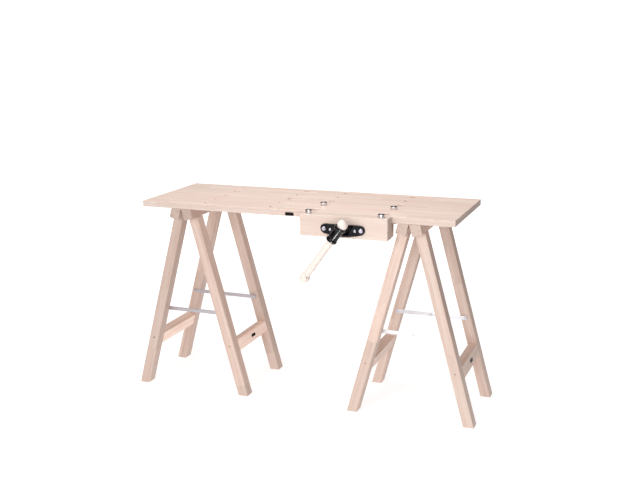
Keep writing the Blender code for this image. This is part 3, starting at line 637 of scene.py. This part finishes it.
def layeredPlate(outlines):
    # closes a stack of outlines of the same length, each (points, y)
    builder = bmesh.new()
    rings = [[builder.verts.new((x, y, z)) for x, z in points] for points, y in outlines]
    for low, high in zip(rings, rings[1:]):
        for i in range(len(low)):
            j = (i + 1) % len(low)
            builder.faces.new((low[i], low[j], high[j], high[i]))
    builder.faces.new(rings[0])
    builder.faces.new(rings[-1])
    return meshFrom(builder)


def roundedFlange(front, back, sign):
    # sign -1: the rounded face is the front one
    rounding = flangeLook["edgeRound"]
    face, foot = (front, back) if sign < 0 else (back, front)
    layers = [(flangeOutline(), foot), (flangeOutline(), face - sign * rounding)]
    for step in range(1, 5):
        angle = pi / 2 * step / 4
        layers.append((flangeOutline(rounding * (1 - cos(angle))), face - sign * rounding * (1 - sin(angle))))
    return layeredPlate(layers)


def alongY(radius, offset, start, end):
    return rod(radius, (offset, 0, 0), (0, 1, 0), start, end)


def rodHole(sign, slack, start, end):
    # the cutter for one guide rod, past both faces
    place = (sign * flangeLook["rodSpacing"] / 2, 0, rodLook["lift"])
    return rod(rodLook["radius"] + slack, place, (0, 1, 0), start - overshoot, end + overshoot)


def buildJaws():
    look = viseLook
    half = look["jawWidth"] / 2
    top = bench["height"] - viseHeight
    jaw = block((-half, jawFront, top - look["jawHeight"]), (half, jawBack, top), look["edgeRound"])
    middle = (jawFront + jawBack) / 2
    tools = [holeTool(x - look["x"], middle, top - look["jawHeight"], top) for x in topLook["columns"][2:]]
    for sign in (-1, 1):
        tools.append(rodHole(sign, gap, jawFront, jawBack))
        offset = sign * flangeLook["screwSpacing"] / 2
        tools.append(alongY(flangeLook["screwHole"], offset, jawFront - overshoot, jawFront + 0.025))
    recess = jawFront + spindleLook["collarLength"] + 2 * gap
    wide, narrow = spindleLook["collarRadius"] + gap, spindleLook["radius"] + runningGap
    line = [(wide, jawFront - overshoot), (wide, recess), (narrow, recess), (narrow, jawBack + overshoot)]
    tools.append(turned(line, toward((0, 0, 0), (0, 1, 0))))
    piece("jawBlock", cut(jaw, tools), "jaw", "vise_jaw", ["front_jaw"], viseMatrix, along=0, breaks=(-0.62, 9.0))
    low = underside - gap - look["rearHeight"] - viseHeight
    rear = block((-half, frontEdge, low), (half, rearJawBack, underside - gap - viseHeight), look["edgeRound"])
    bores = [alongY(spindleLook["radius"] + 2 * runningGap, 0, frontEdge - overshoot, rearJawBack + overshoot)]
    for sign in (-1, 1):
        bores.append(rodHole(sign, runningGap, frontEdge, rearJawBack))
    piece("rearJawBlock", cut(rear, bores), "frame", "bench_top", ["rear_jaw"], viseMatrix, along=0, breaks=(0.04, 9.0))


def buildFlange():
    flange = roundedFlange(flangeFront, flangeBack, -1)
    tools = [alongY(spindleLook["radius"] + runningGap, 0, flangeFront - overshoot, flangeBack + overshoot)]
    for sign in (-1, 1):
        tools.append(rodHole(sign, gap, flangeFront, flangeBack))
        offset = sign * flangeLook["screwSpacing"] / 2
        tools.append(alongY(flangeLook["screwHole"], offset, flangeFront - overshoot, flangeBack + overshoot))
    piece("jawFlange", cut(flange, tools), "enamel", "vise_jaw", ["vise_flange"], viseMatrix)
    for side, sign in (("left", -1), ("right", 1)):
        offset = sign * flangeLook["screwSpacing"] / 2
        place = viseMatrix @ toward((offset, flangeFront - gap, 0), (0, -1, 0))
        line = [(0.0008, -0.030), (0.0022, -0.027), (0.0025, -0.026), (0.0025, 0), (0.0043, 0, 0.0002),
                (0.0043, 0.0010, 0.0006), (0.0034, 0.0024, 0.0008), (0, 0.0026)]  # point, shank and pan head
        head = turned(line, None, 40)
        for x, y in ((0.0021, 0.0004), (0.0004, 0.0021)):
            head = boolean(head, block((-x, -y, 0.0010), (x, y, 0.0040)))
        piece("flangeScrew" + side.title(), head, "screw", "vise_jaw", ["flange_screw_" + side], place)


rodLook = {"radius": 0.0065, "overhang": 0.0035, "lift": 0.0020, "length": 0.1970, "endChamfer": 0.0010}


def buildRods():
    radius, length, chamfer = rodLook["radius"], rodLook["length"], rodLook["endChamfer"]
    for side, sign in (("left", -1), ("right", 1)):
        start = flangeFront - rodLook["overhang"]
        line = [(0.0022, 0.0008), (0.0026, 0.0001), (radius - chamfer, 0, 0.0002), (radius, chamfer, 0.0004),
                (radius, length - chamfer, 0.0004), (radius - chamfer, length, 0.0002), (0, length)]
        place = viseMatrix @ toward((sign * flangeLook["rodSpacing"] / 2, start, rodLook["lift"]), (0, 1, 0))
        piece("guideBar" + side.title(), turned(line), "rod", "vise_jaw", ["guide_rod_" + side], place)


spindleLook = {"radius": 0.0100, "threadRoot": 0.0082, "threadCrest": 0.0098, "pitch": 0.0050, "seatRadius": 0.0077,
               "collarRadius": 0.0150, "collarLength": 0.0060, "seat": 0.0200, "reach": 0.1450}


def buildSpindle():
    look = spindleLook
    neckBack = flangeFront - gap
    front = neckBack - look["seat"] + 2 * gap
    collar = jawFront + gap
    back = rearJawBack + look["reach"]
    threadStart = jawBack + 0.004
    collarEnd = collar + look["collarLength"]
    core = look["threadRoot"] - 0.0002
    line = [(0, front), (look["seatRadius"], front, 0.0004), (look["seatRadius"], neckBack + gap),
            (look["radius"], neckBack + gap, 0.0004), (look["radius"], collar), (look["collarRadius"], collar, 0.0005),
            (look["collarRadius"], collarEnd, 0.0005), (look["radius"], collarEnd), (look["radius"], threadStart - 0.002, 0.0006),
            (core, threadStart, 0.0006), (core, back - 0.002, 0.0006), (0.0062, back), (0, back)]
    shaft = turned(line)
    turns = (back - 0.004 - threadStart - 0.001) / look["pitch"]
    values = {"Turns": turns, "Pitch": look["pitch"], "Root Radius": look["threadRoot"], "Crest Radius": look["threadCrest"],
              "Material": materials["screw"]}
    thread = grown(threadedCore, values)
    thread.transform(Matrix.Translation((0, 0, threadStart + 0.001)))
    place = viseMatrix @ toward((0, 0, 0), (0, 1, 0))
    piece("threadedSpindle", merged([shaft, thread]), "screw", "vise_spindle", ["vise_screw"], place, smooth=40)


hubLook = {"standoff": 0.0630, "tilt": radians(35.6), "radius": 0.0150, "collarRadius": 0.0175,
           "collarLength": 0.0060, "length": 0.0520, "neck": 0.0120, "ribInset": 0.0062, "ribStep": 0.0026}
handlePlane = jawFront - hubLook["standoff"]
handleMatrix = Matrix.Translation((viseLook["x"], handlePlane + shiftY, viseHeight)) @ Matrix.Rotation(hubLook["tilt"], 4, "Y")


def buildHub():
    look = hubLook
    half = look["length"] / 2
    start = half - look["collarLength"]
    wide = look["collarRadius"]
    line = [(0, -half), (wide, -half, 0.0012), (wide, -start, 0.0016), (look["radius"], -start + 0.004, 0.003),
            (look["radius"], start - 0.004, 0.003), (wide, start, 0.0016), (wide, half, 0.0012), (0, half)]
    body = turned(line)
    neckEnd = flangeFront - gap - handlePlane
    neckLine = [(look["neck"], 0), (look["neck"], look["radius"] - 0.001), (look["neck"], neckEnd - 0.004, 0.002),
                (look["neck"] - 0.0008, neckEnd - 0.0012, 0.001), (look["neck"] - 0.0008, neckEnd)]
    neck = turned(neckLine, toward((0, 0, 0), (0, 1, 0)))
    body = boolean(body, neck, "UNION")
    body = boolean(body, rod(handleLook["radius"] + runningGap, (0, 0, 0), (0, 0, 1), -0.05, 0.05, 64))
    body = boolean(body, alongY(spindleLook["seatRadius"] + gap, 0, neckEnd - spindleLook["seat"], neckEnd + overshoot))
    ribs = []
    for height in (look["ribInset"] - start, start - look["ribInset"] - look["ribStep"]):
        values = {"Count": 2, "Step": look["ribStep"], "Radius": look["radius"] - 0.00005, "Rib Radius": 0.0006,
                  "Material": materials["enamel"]}
        rib = grown(castRibs, values)
        rib.transform(Matrix.Translation((0, 0, height)))
        ribs.append(rib)
    piece("handleHub", merged([body] + ribs), "enamel", "vise_spindle", ["screw_head"], handleMatrix)


handleLook = {"radius": 0.0110, "length": 0.2090, "knobRadius": 0.0160, "knobFlat": 0.010583, "socket": 0.0100}


def buildHandle():
    look = handleLook
    knobHeight = hubLook["length"] / 2 + gap + look["knobFlat"]
    reach = look["knobFlat"] - look["socket"] + gap
    top, bottom = knobHeight - reach, knobHeight - look["length"] + reach
    line = [(0, bottom), (look["radius"] - 0.0008, bottom, 0.0003), (look["radius"], bottom + 0.0008, 0.0005),
            (look["radius"], top - 0.0008, 0.0005), (look["radius"] - 0.0008, top, 0.0003), (0, top)]
    piece("handleStick", turned(line), "handle", "vise_handle", ["handle_bar"], handleMatrix)
    for name, node, height, facing in (("knobUpper", "handle_knob_upper", knobHeight, 1),
                                       ("knobLower", "handle_knob_lower", knobHeight - look["length"], -1)):
        start = asin(look["knobFlat"] / look["knobRadius"])
        rim = look["knobRadius"] * cos(start)
        line = [(look["radius"] + gap, -look["knobFlat"] + look["socket"]), (look["radius"] + gap, -look["knobFlat"] + 0.0003),
                (look["radius"] + gap + 0.0002, -look["knobFlat"]), (rim - 0.0002, -look["knobFlat"])]
        for step in range(33):
            angle = -start + 0.02 + (start + pi / 2 - 0.02) * step / 32
            radius = look["knobRadius"] * cos(angle) if step < 32 else 0
            line.append((radius, look["knobRadius"] * sin(angle)))
        line = [(0, -look["knobFlat"] + look["socket"])] + line
        place = handleMatrix @ toward((0, 0, height), (0, 0, facing))
        piece(name, turned(line), "handle", "vise_handle", [node], place, grain=handleMatrix)
    centre = handleMatrix @ Vector((0, 0, knobHeight - look["length"]))
    outward = Vector((0.62, -0.75, 0.10)).normalized()
    place = toward(centre + outward * (look["knobRadius"] - 0.0006), outward)
    piece("knobPin", screws("dark", 1, 0.01, 0.0020, 0.0009), "dark", "vise_handle", (), place)


castingLook = {"nutRadius": 0.0180, "nutLength": 0.0260, "bossRadius": 0.0110, "bossLength": 0.0220}


def buildCasting():
    look = castingLook
    plate = roundedFlange(castingFront, castingFront + flangeLook["thickness"], 1)
    inside = castingFront + flangeLook["thickness"] / 2
    nutEnd, bossEnd = castingFront + look["nutLength"], castingFront + look["bossLength"]
    spacing, lift = flangeLook["rodSpacing"] / 2, rodLook["lift"]
    bosses = []
    for radius, end, x, z in ((look["nutRadius"] - 0.0002, nutEnd, 0, 0), (look["bossRadius"], bossEnd, -spacing, lift),
                              (look["bossRadius"], bossEnd, spacing, lift)):
        line = [(radius, inside), (radius, end - 0.001, 0.001), (radius - 0.001, end, 0.0006), (0, end)]
        bosses.append(turned(line, toward((x, 0, z), (0, 1, 0))))
    for boss in bosses:
        plate = boolean(plate, boss, "UNION")
    tools = [alongY(spindleLook["radius"] + runningGap, 0, castingFront - overshoot, nutEnd + overshoot)]
    for sign in (-1, 1):
        tools.append(rodHole(sign, runningGap, castingFront, bossEnd))
    piece("nutCasting", cut(plate, tools), "enamel", "bench_top", ["rear_casting"], viseMatrix)
    back = castingFront + flangeLook["thickness"]
    place = viseMatrix @ toward((0, back, 0), (0, 1, 0))
    piece("castingScrews", screws("screw", 2, 0.070, 0.0042, 0.0024), "screw", "bench_top", (), place)
    print("vise built")


# trestles; a leaf is one half of a trestle, side -1 is its west half
legLook = {"width": 0.0330, "depth": 0.0395, "pairDepth": 0.3060, "edgeRound": 0.0020, "screwPocket": 0.0028,
           "screwReach": 0.4810, "pocketDepth": 0.0060, "pivotHole": 0.0028, "pivotDepth": 0.0123, "offset": 0.0022}
# finger joints in metres below the hinge pin, and how light the wood is below, between and above them
legWood = {
    "west_left_front": ((-0.520, 9.0), (0.88, 0.84, 0.84)), "west_left_rear": ((-0.300, 9.0), (1.00, 1.04, 1.0)),
    "west_right_front": ((-0.620, 9.0), (0.82, 0.95, 1.0)), "west_right_rear": ((-0.592, -0.356), (0.98, 0.88, 0.98)),
    "east_left_front": ((-0.402, -0.262), (0.86, 1.02, 0.99)), "east_left_rear": ((-0.410, 9.0), (1.00, 0.95, 1.0)),
    "east_right_front": ((-0.418, 9.0), (0.93, 0.93, 1.0)), "east_right_rear": ((-0.258, 9.0), (1.00, 0.93, 1.0))}
openPocket = "west_left_front"  # the one screw pocket with no plug in it
# westTone darkens the west trestle's rails: painted shade; the east rails keep their wood's own tone
railLook = {"length": 0.3720, "drop": 0.0330, "edgeRound": 0.0016, "tenonThickness": 0.0120, "tenonWidth": 0.0200,
            "tenonLength": 0.0180, "groove": 0.0035, "westTone": 0.86, "eastTone": 1.0}
hingeLook = {"pinDrop": 0.0074, "knuckle": 0.0030, "pin": 0.0013, "plate": 0.0015, "height": 0.0150,
             "setback": 0.0400, "knuckles": 5, "screwRows": 4}
barLook = {"thickness": 0.0020, "width": 0.0125, "hole": 0.0028, "reach": 0.3780, "edgeRound": 0.0004,
           "headRadius": 0.0048, "headHeight": 0.0022}
pinHeight = underside - hingeLook["pinDrop"]
outerOffset = legLook["offset"] + legLook["width"]
legAxis = legLook["offset"] + legLook["width"] / 2
barLength = legAxis * cos(splay) + barLook["reach"] * sin(splay)
legPair = legLook["pairDepth"] / 2


def leafMatrix(side, trestle):
    # the frame of one half of a trestle: origin on the hinge pin, Z up along the leg
    place = Matrix.Translation((trestle * bench["trestleX"], shiftY, pinHeight))
    return place @ Matrix.Rotation(-side * splay, 4, "Y")


def slanted(x, level):
    return (level - pinHeight - abs(x) * sin(splay)) / cos(splay)


def barFaces(end, layer):
    start = legPair - legLook["depth"] - gap - layer * (barLook["thickness"] + gap)
    return sorted((end * start, end * (start - barLook["thickness"])))


def buildLeg(label, side, trestle, end, place):
    body = label + "_leaf"
    matrix = leafMatrix(side, trestle)
    low, high = sorted((side * legLook["offset"], side * outerOffset))
    lowY, highY = sorted((end * legPair, end * (legPair - legLook["depth"])))
    top = -railLook["drop"] - gap
    outline = [(low, slanted(low, 0)), (high, slanted(high, 0)), (high, top), (low, top)]
    leg = prism(outline, lowY, highY, legLook["edgeRound"])
    middleX, middleY = side * legAxis, (lowY + highY) / 2
    halfX, halfY = railLook["tenonThickness"] / 2, railLook["tenonWidth"] / 2
    tenonTop = top + railLook["tenonLength"]
    tenon = block((middleX - halfX, middleY - halfY, top - 0.005), (middleX + halfX, middleY + halfY, tenonTop), 0.0006, 1)
    leg = boolean(leg, tenon, "UNION")
    pocket, depth = legLook["screwPocket"], legLook["pocketDepth"]
    line = [(pocket + 0.0020, -0.003), (pocket, 0.0003), (pocket, depth)]
    tools = [turned(line, toward((middleX, end * legPair, -legLook["screwReach"]), (0, -end, 0)), 40)]
    inner = end * (legPair - legLook["depth"])
    tools.append(rod(legLook["pivotHole"], (middleX, inner, -barLook["reach"]), (0, end, 0), -0.01, legLook["pivotDepth"], 32))
    breaks, tones = legWood[label + "_" + place]
    name = label.replace("_", " ").title().replace(" ", "")
    name = name[0].lower() + name[1:] + place.title()
    piece(name + "Leg", cut(leg, tools), "frame", body, [label + "_leg_" + place], matrix, breaks=breaks, tones=tones)
    bottom = matrix @ toward((middleX, end * (legPair - depth), -legLook["screwReach"]), (0, end, 0))
    if label + "_" + place == openPocket:
        piece(name + "Screw", screws("dark", 1, 0.01, pocket - 0.0002, 0.0022), "dark", body, (), bottom)
    else:
        line = [(0, 0.0002), (pocket - 0.0001, 0.0002), (pocket - 0.0001, depth - 0.0006, 0.0003), (0, depth - 0.0004)]
        piece(name + "Plug", turned(line, None, 32), "frame", body, (), bottom, tones=(0.66, 0.66, 0.66))
    return name


def buildPivot(name, label, side, trestle, end, place, layer):
    # the rivet the spreader turns on, with a shoulder under a second-layer bar
    matrix = leafMatrix(side, trestle)
    near, far = sorted((abs(v) for v in barFaces(end, layer)), reverse=True)
    face = legPair - legLook["depth"]
    shank = barLook["hole"] - gap
    start = face - far + gap
    line = [(0, -0.012), (shank, -0.012), (shank, gap)]
    if layer:
        line += [(barLook["headRadius"], gap), (barLook["headRadius"], face - near - gap), (shank, face - near - gap)]
    top = start + barLook["headHeight"]
    line += [(shank, start), (barLook["headRadius"], start, 0.0003), (barLook["headRadius"], start + 0.0007, 0.0008),
             (0.0030, top, 0.0012), (0.0014, top, 0.0003), (0.0012, top - 0.0014), (0, top - 0.0014)]
    spot = matrix @ toward((side * legAxis, end * face, -barLook["reach"]), (0, -end, 0))
    piece(name + "Pivot", turned(line, None, 40), "rivet", label + "_leaf", [label + "_pivot_" + place], spot)


def buildBar(name, label, side, trestle, end, place, layer):
    radius = barLook["width"] / 2
    level = Matrix.Translation((side * legAxis, 0, -barLook["reach"])) @ Matrix.Rotation(side * splay, 4, "Y")
    matrix = leafMatrix(side, trestle) @ level
    outline = []
    inward = pi if side > 0 else 0
    for centre, facing in ((-side * barLength, inward), (0, inward + pi)):
        for step in range(17):
            angle = facing - pi / 2 + pi * step / 16
            outline.append((centre + radius * cos(angle), radius * sin(angle)))
    lowY, highY = barFaces(end, layer)
    bar = prism(outline, lowY, highY, barLook["edgeRound"], 2)
    tools = [rod(barLook["hole"], (x, 0, 0), (0, 1, 0), -0.2, 0.2, 32) for x in (0, -side * barLength)]
    body = label + "_bar_" + place
    # the west trestle's bars take the darker copy of the zinc: painted shade
    key = "bar" if trestle > 0 else "shadedBar"
    piece(name + "Spreader", cut(bar, tools), key, body, [label + "_spreader_" + place], matrix, along=0)
    # the middle rivet: each half stays in its own bar's hole
    shank = barLook["hole"] - gap
    thick = barLook["thickness"]
    if layer:
        line = [(0, 0), (shank, 0), (shank, thick + gap), (barLook["headRadius"] - 0.0004, thick + gap, 0.0003),
                (barLook["headRadius"] - 0.0004, thick + gap + 0.0006, 0.0008), (0.0026, thick + gap + 0.0016, 0.001),
                (0.0013, thick + gap + 0.0016, 0.0003), (0.0011, thick + gap + 0.0004), (0, thick + gap + 0.0004)]
    else:
        line = [(0, 0.0010), (0.0011, 0.0010), (0.0013, 0.0002), (shank - 0.0003, 0, 0.0002), (shank, 0.0003), (shank, thick),
                (0, thick)]
    outerFace = max(abs(lowY), abs(highY)) * end
    spot = matrix @ toward((-side * barLength, outerFace, 0), (0, -end, 0))
    piece(name + "MidRivet", turned(line, None, 40), "rivet", body, (), spot)


def buildRail(label, name, side, trestle):
    matrix = leafMatrix(side, trestle)
    low, high = sorted((side * legLook["offset"], side * outerOffset))
    half, level, drop = railLook["length"] / 2, underside - gap, railLook["drop"]
    outline = [(low, -drop), (high, -drop), (high, slanted(high, level)), (low, slanted(low, level))]
    rail = prism(outline, -half, half, railLook["edgeRound"])
    middle = side * legAxis
    tools = [rod(railLook["groove"], (0, 0, 0), (0, 1, 0), -0.3, 0.3, 32)]
    for end in (-1, 1):
        y = end * (legPair - legLook["depth"] / 2)
        halfX, halfY = railLook["tenonThickness"] / 2 + gap, railLook["tenonWidth"] / 2 + gap
        mortiseTop = -drop + railLook["tenonLength"] + gap
        tools.append(block((middle - halfX, y - halfY, -drop - overshoot), (middle + halfX, y + halfY, mortiseTop)))
    # the rails' tone factor is painted shade on the west trestle
    tone = railLook["westTone"] if trestle < 0 else railLook["eastTone"]
    piece(name + "Rail", cut(rail, tools), "frame", label + "_leaf", [label + "_head_rail"], matrix, along=1, tones=[tone] * 3)


# the stretchers' tone factors lighten them beyond their wood: painted light, stronger on the west pair
stretcherLook = {"height": 0.0390, "reach": 0.4900, "edgeRound": 0.0018, "westTone": 1.55, "eastTone": 1.18}


def buildStretcher(label, name, side, trestle):
    matrix = leafMatrix(side, trestle)
    low, high = sorted((side * legLook["offset"], side * outerOffset))
    half = legPair - legLook["depth"] - gap
    bottom = -stretcherLook["reach"] - stretcherLook["height"] / 2
    mesh = block((low, -half, bottom), (high, half, bottom + stretcherLook["height"]), stretcherLook["edgeRound"])
    # painted light on the stretchers, carried by the tone attribute
    tone = stretcherLook["westTone"] if trestle < 0 else stretcherLook["eastTone"]
    piece(name + "Stretcher", mesh, "frame", label + "_leaf", [label + "_stretcher"], matrix, along=1, tones=[tone] * 3)


def buildHinge(label, name, side, trestle):
    look = hingeLook
    matrix = leafMatrix(side, trestle)
    half = railLook["length"] / 2 - look["setback"] - gap
    face = legLook["offset"] - gap
    low, high = sorted((side * face, side * (face - look["plate"])))
    topZ = -look["knuckle"] - runningGap
    plate = block((low, -half, -look["height"]), (high, half, topZ), 0.0003, 2)
    pitch = 2 * (railLook["length"] / 2 - look["setback"]) / look["knuckles"]
    own = [i for i in range(look["knuckles"]) if i % 2 == (side < 0)]
    parts = [plate]
    webTop = -sqrt(((look["pin"] + gap) ** 2 + look["knuckle"] ** 2) / 2)
    for i in own:
        start = -pitch * look["knuckles"] / 2 + i * pitch + gap
        parts.append(block((low + 0.0001, start, topZ - 0.001), (high - 0.0001, start + pitch - 2 * gap, webTop)))
    values = {"Count": len(own), "Step": 2 * pitch, "Length": pitch - 2 * gap, "Outer Radius": look["knuckle"],
              "Inner Radius": look["pin"] + gap, "Material": materials["hinge"]}
    tubes = grown(hingeKnuckles, values)
    tubes.transform(toward((0, 0, 0), (0, 1, 0)))
    piece(name + "HingeLeaf", merged(parts + [tubes]), "hinge", label + "_leaf", [label + "_hinge_leaf"], matrix, along=1)
    # screw heads lie just proud of the plate; the two leaves' rows are staggered, so they pass when it folds
    row = screws("screw", look["screwRows"], pitch, 0.0028, 0.0006, Matrix.Rotation(pi / 2, 4, "Z"))
    row.transform(toward((side * (face - look["plate"]), side * pitch / 4, (topZ - look["height"]) / 2), (-side, 0, 0)))
    piece(name + "HingeScrews", row, "screw", label + "_leaf", (), matrix)


def buildLeaf(label, side, trestle):
    name = label.split("_")[0] + label.split("_")[1].title()
    layer = 0 if side < 0 else 1
    for end, place in ((-1, "front"), (1, "rear")):
        legName = buildLeg(label, side, trestle, end, place)
        buildPivot(legName, label, side, trestle, end, place, layer)
        buildBar(legName, label, side, trestle, end, place, layer)
    buildRail(label, name, side, trestle)
    buildStretcher(label, name, side, trestle)
    buildHinge(label, name, side, trestle)


def buildTrestle(label, trestle):
    buildLeaf(label + "_left", -1, trestle)
    buildLeaf(label + "_right", 1, trestle)
    matrix = leafMatrix(1, trestle)
    half = railLook["length"] / 2 - hingeLook["setback"]
    radius = hingeLook["pin"]
    line = [(0, -half), (radius, -half, 0.0003), (radius, half, 0.0003), (0, half)]
    pin = turned(line, toward((0, 0, 0), (0, 1, 0)), 24)
    piece(label + "HingePin", pin, "hinge", label + "_right_leaf", [label + "_hinge_pin"], matrix)
    plate = plateMesh()
    plate.transform(Matrix.Translation((outerOffset + gap, 0, -stretcherLook["reach"])) @ Matrix.Rotation(pi / 2, 4, "Z"))
    piece(label + "Plate", plate, "plate", label + "_right_leaf", [label + "_plate"], matrix)
    print(label, "trestle built")


buildTop()
buildNamePlate()
dogRow = -topLook["rowPitch"]
jawMiddle = (jawFront + jawBack) / 2
for side, x in (("left", topLook["columns"][2]), ("right", topLook["columns"][3])):
    buildDog("topDog" + side.title(), "top_dog_" + side, side + "_top_dog", x, dogRow)
    buildDog("jawDog" + side.title(), "jaw_dog_" + side, side + "_jaw_dog", x, jawMiddle)
buildJaws()
buildFlange()
buildRods()
buildSpindle()
buildHub()
buildHandle()
buildCasting()
buildTrestle("west", -1)
buildTrestle("east", 1)


# floor, light and camera
stage = {"paper": "C8C8CA", "floorGlow": 0.7, "whiteOut": 1.1, "bounce": 0.62, "farBounce": 0.12, "bounceRadius": 1.1,
         "fill": 0.36, "fillColour": "FFF8F5", "darkReflection": 0.1, "brightReflection": 0.95, "brightSide": (0.1, -1.0, 0.2),
         "keyPower": 44, "topPower": 24.5, "sidePower": 6, "discPower": 1.0}


def buildStage():
    builder = bmesh.new()
    bmesh.ops.create_grid(builder, x_segments=1, y_segments=1, size=30)
    floor = bpy.data.objects.new("studioFloor", meshFrom(builder))
    floor.location.z = -0.0002
    material, tree, shader = newMaterial("studioPaper")
    # seen directly the paper glows more further out; what it throws back at the bench comes from a disc around it
    place = addNode(tree, "TexCoord", (), "Object")
    away = addNode(tree, "VectorMath", [place], "Value", operation="LENGTH")
    shown = addNode(tree, "MapRange", {"Value": away, "From Min": 1.0, "From Max": 2.6, "To Min": stage["floorGlow"],
                                       "To Max": stage["whiteOut"]}, interpolation_type="SMOOTHSTEP")
    thrown = addNode(tree, "MapRange", {
        "Value": away, "From Min": stage["bounceRadius"], "From Max": stage["bounceRadius"] + 0.6,
        "To Min": stage["bounce"], "To Max": stage["farBounce"]}, interpolation_type="SMOOTHSTEP")
    seen = addNode(tree, "LightPath", (), "Is Camera Ray")
    glow = addNode(tree, "Mix", {0: seen, 2: thrown, 3: shown}, data_type="FLOAT")
    setInputs(tree, shader, {"Base Color": linear(stage["paper"]), "Roughness": 0.9, "Specular IOR Level": 0.0,
                             "Emission Color": (1, 1, 1, 1), "Emission Strength": glow})
    floor.data.materials.append(material)
    bpy.context.scene.collection.objects.link(floor)
    world = bpy.data.worlds.new("studio")
    bpy.context.scene.world = world
    world.use_nodes = True
    tree = world.node_tree
    # polished pieces see a bright front wall and a dark room; everything else gets an even fill
    direction = addNode(tree, "TexCoord", (), "Generated")
    brightSide = Vector(stage["brightSide"]).normalized()
    toFront = addNode(tree, "VectorMath", (direction, brightSide), "Value", operation="DOT_PRODUCT")
    front = addNode(tree, "MapRange", {
        "Value": toFront, "From Min": 0.45, "From Max": 0.95, "To Min": stage["darkReflection"],
        "To Max": stage["brightReflection"]}, interpolation_type="SMOOTHSTEP")
    path = addNode(tree, "LightPath").node.outputs
    strength = addNode(tree, "Mix", {0: path["Is Glossy Ray"], 2: stage["fill"], 3: front}, data_type="FLOAT")
    fill = addNode(tree, "Background", {"Color": linear(stage["fillColour"]), "Strength": strength})
    shown = addNode(tree, "Background", {"Color": (1, 1, 1, 1), "Strength": stage["whiteOut"]})
    either = addNode(tree, "MixShader", (path["Is Camera Ray"], fill, shown))
    tree.links.new(either, tree.nodes["World Output"].inputs[0])


def areaLight(name, place, target, size, power, colour, diffuse=True):
    data = bpy.data.lights.new(name, "AREA")
    data.shape, data.size, data.energy, data.color = "DISK", size, power, colour
    light = bpy.data.objects.new(name, data)
    light.location = place
    light.visible_diffuse = light.visible_camera = diffuse
    light.rotation_mode = "QUATERNION"
    light.rotation_quaternion = (Vector(place) - Vector(target)).to_track_quat("Z", "Y")
    bpy.context.scene.collection.objects.link(light)


cameraLook = {"lens": 939.3 / 630 * 36, "place": (1.1109, -2.8329 + shiftY, 1.2159), "yaw": radians(-21.19),
              "pitch": radians(13.47), "roll": radians(-0.55)}


def buildCamera():
    data = bpy.data.cameras.new("photoCamera")
    data.sensor_width = 36
    data.lens = cameraLook["lens"]
    camera = bpy.data.objects.new("photoCamera", data)
    yaw, pitch, roll = cameraLook["yaw"], cameraLook["pitch"], cameraLook["roll"]
    forward = Vector((sin(yaw) * cos(pitch), cos(yaw) * cos(pitch), -sin(pitch)))
    right = Vector((cos(yaw), -sin(yaw), 0))
    up = right.cross(forward)
    turnedRight = right * cos(roll) + up * sin(roll)
    turnedUp = up * cos(roll) - right * sin(roll)
    rotation = Matrix((turnedRight, turnedUp, -forward)).transposed().to_4x4()
    camera.matrix_world = Matrix.Translation(cameraLook["place"]) @ rotation
    bpy.context.scene.collection.objects.link(camera)
    bpy.context.scene.camera = camera


buildStage()
areaLight("keySoftbox", (-0.35, -3.2, 1.55), (0.0, 0.0, 0.35), 1.3, stage["keyPower"], (1.0, 0.99, 0.98))
areaLight("topSoftbox", (0.0, -0.1, 2.3), (0.0, 0.05, 0.6), 1.5, stage["topPower"], (1.0, 0.99, 0.98))
areaLight("sideSoftbox", (0.60, -1.75, 0.50), (0.1, 0.0, 0.35), 0.8, stage["sidePower"], (1.0, 0.99, 0.98))
# a small disc that only polished surfaces see: the streak down the sleeve
areaLight("sleeveDisc", (0.2725, -0.584, 0.350), (0.1915, -0.23, 0.6155), 0.12, stage["discPower"], (1.0, 1.0, 1.0), False)
buildCamera()
bpy.context.scene.view_settings.view_transform = "Standard"
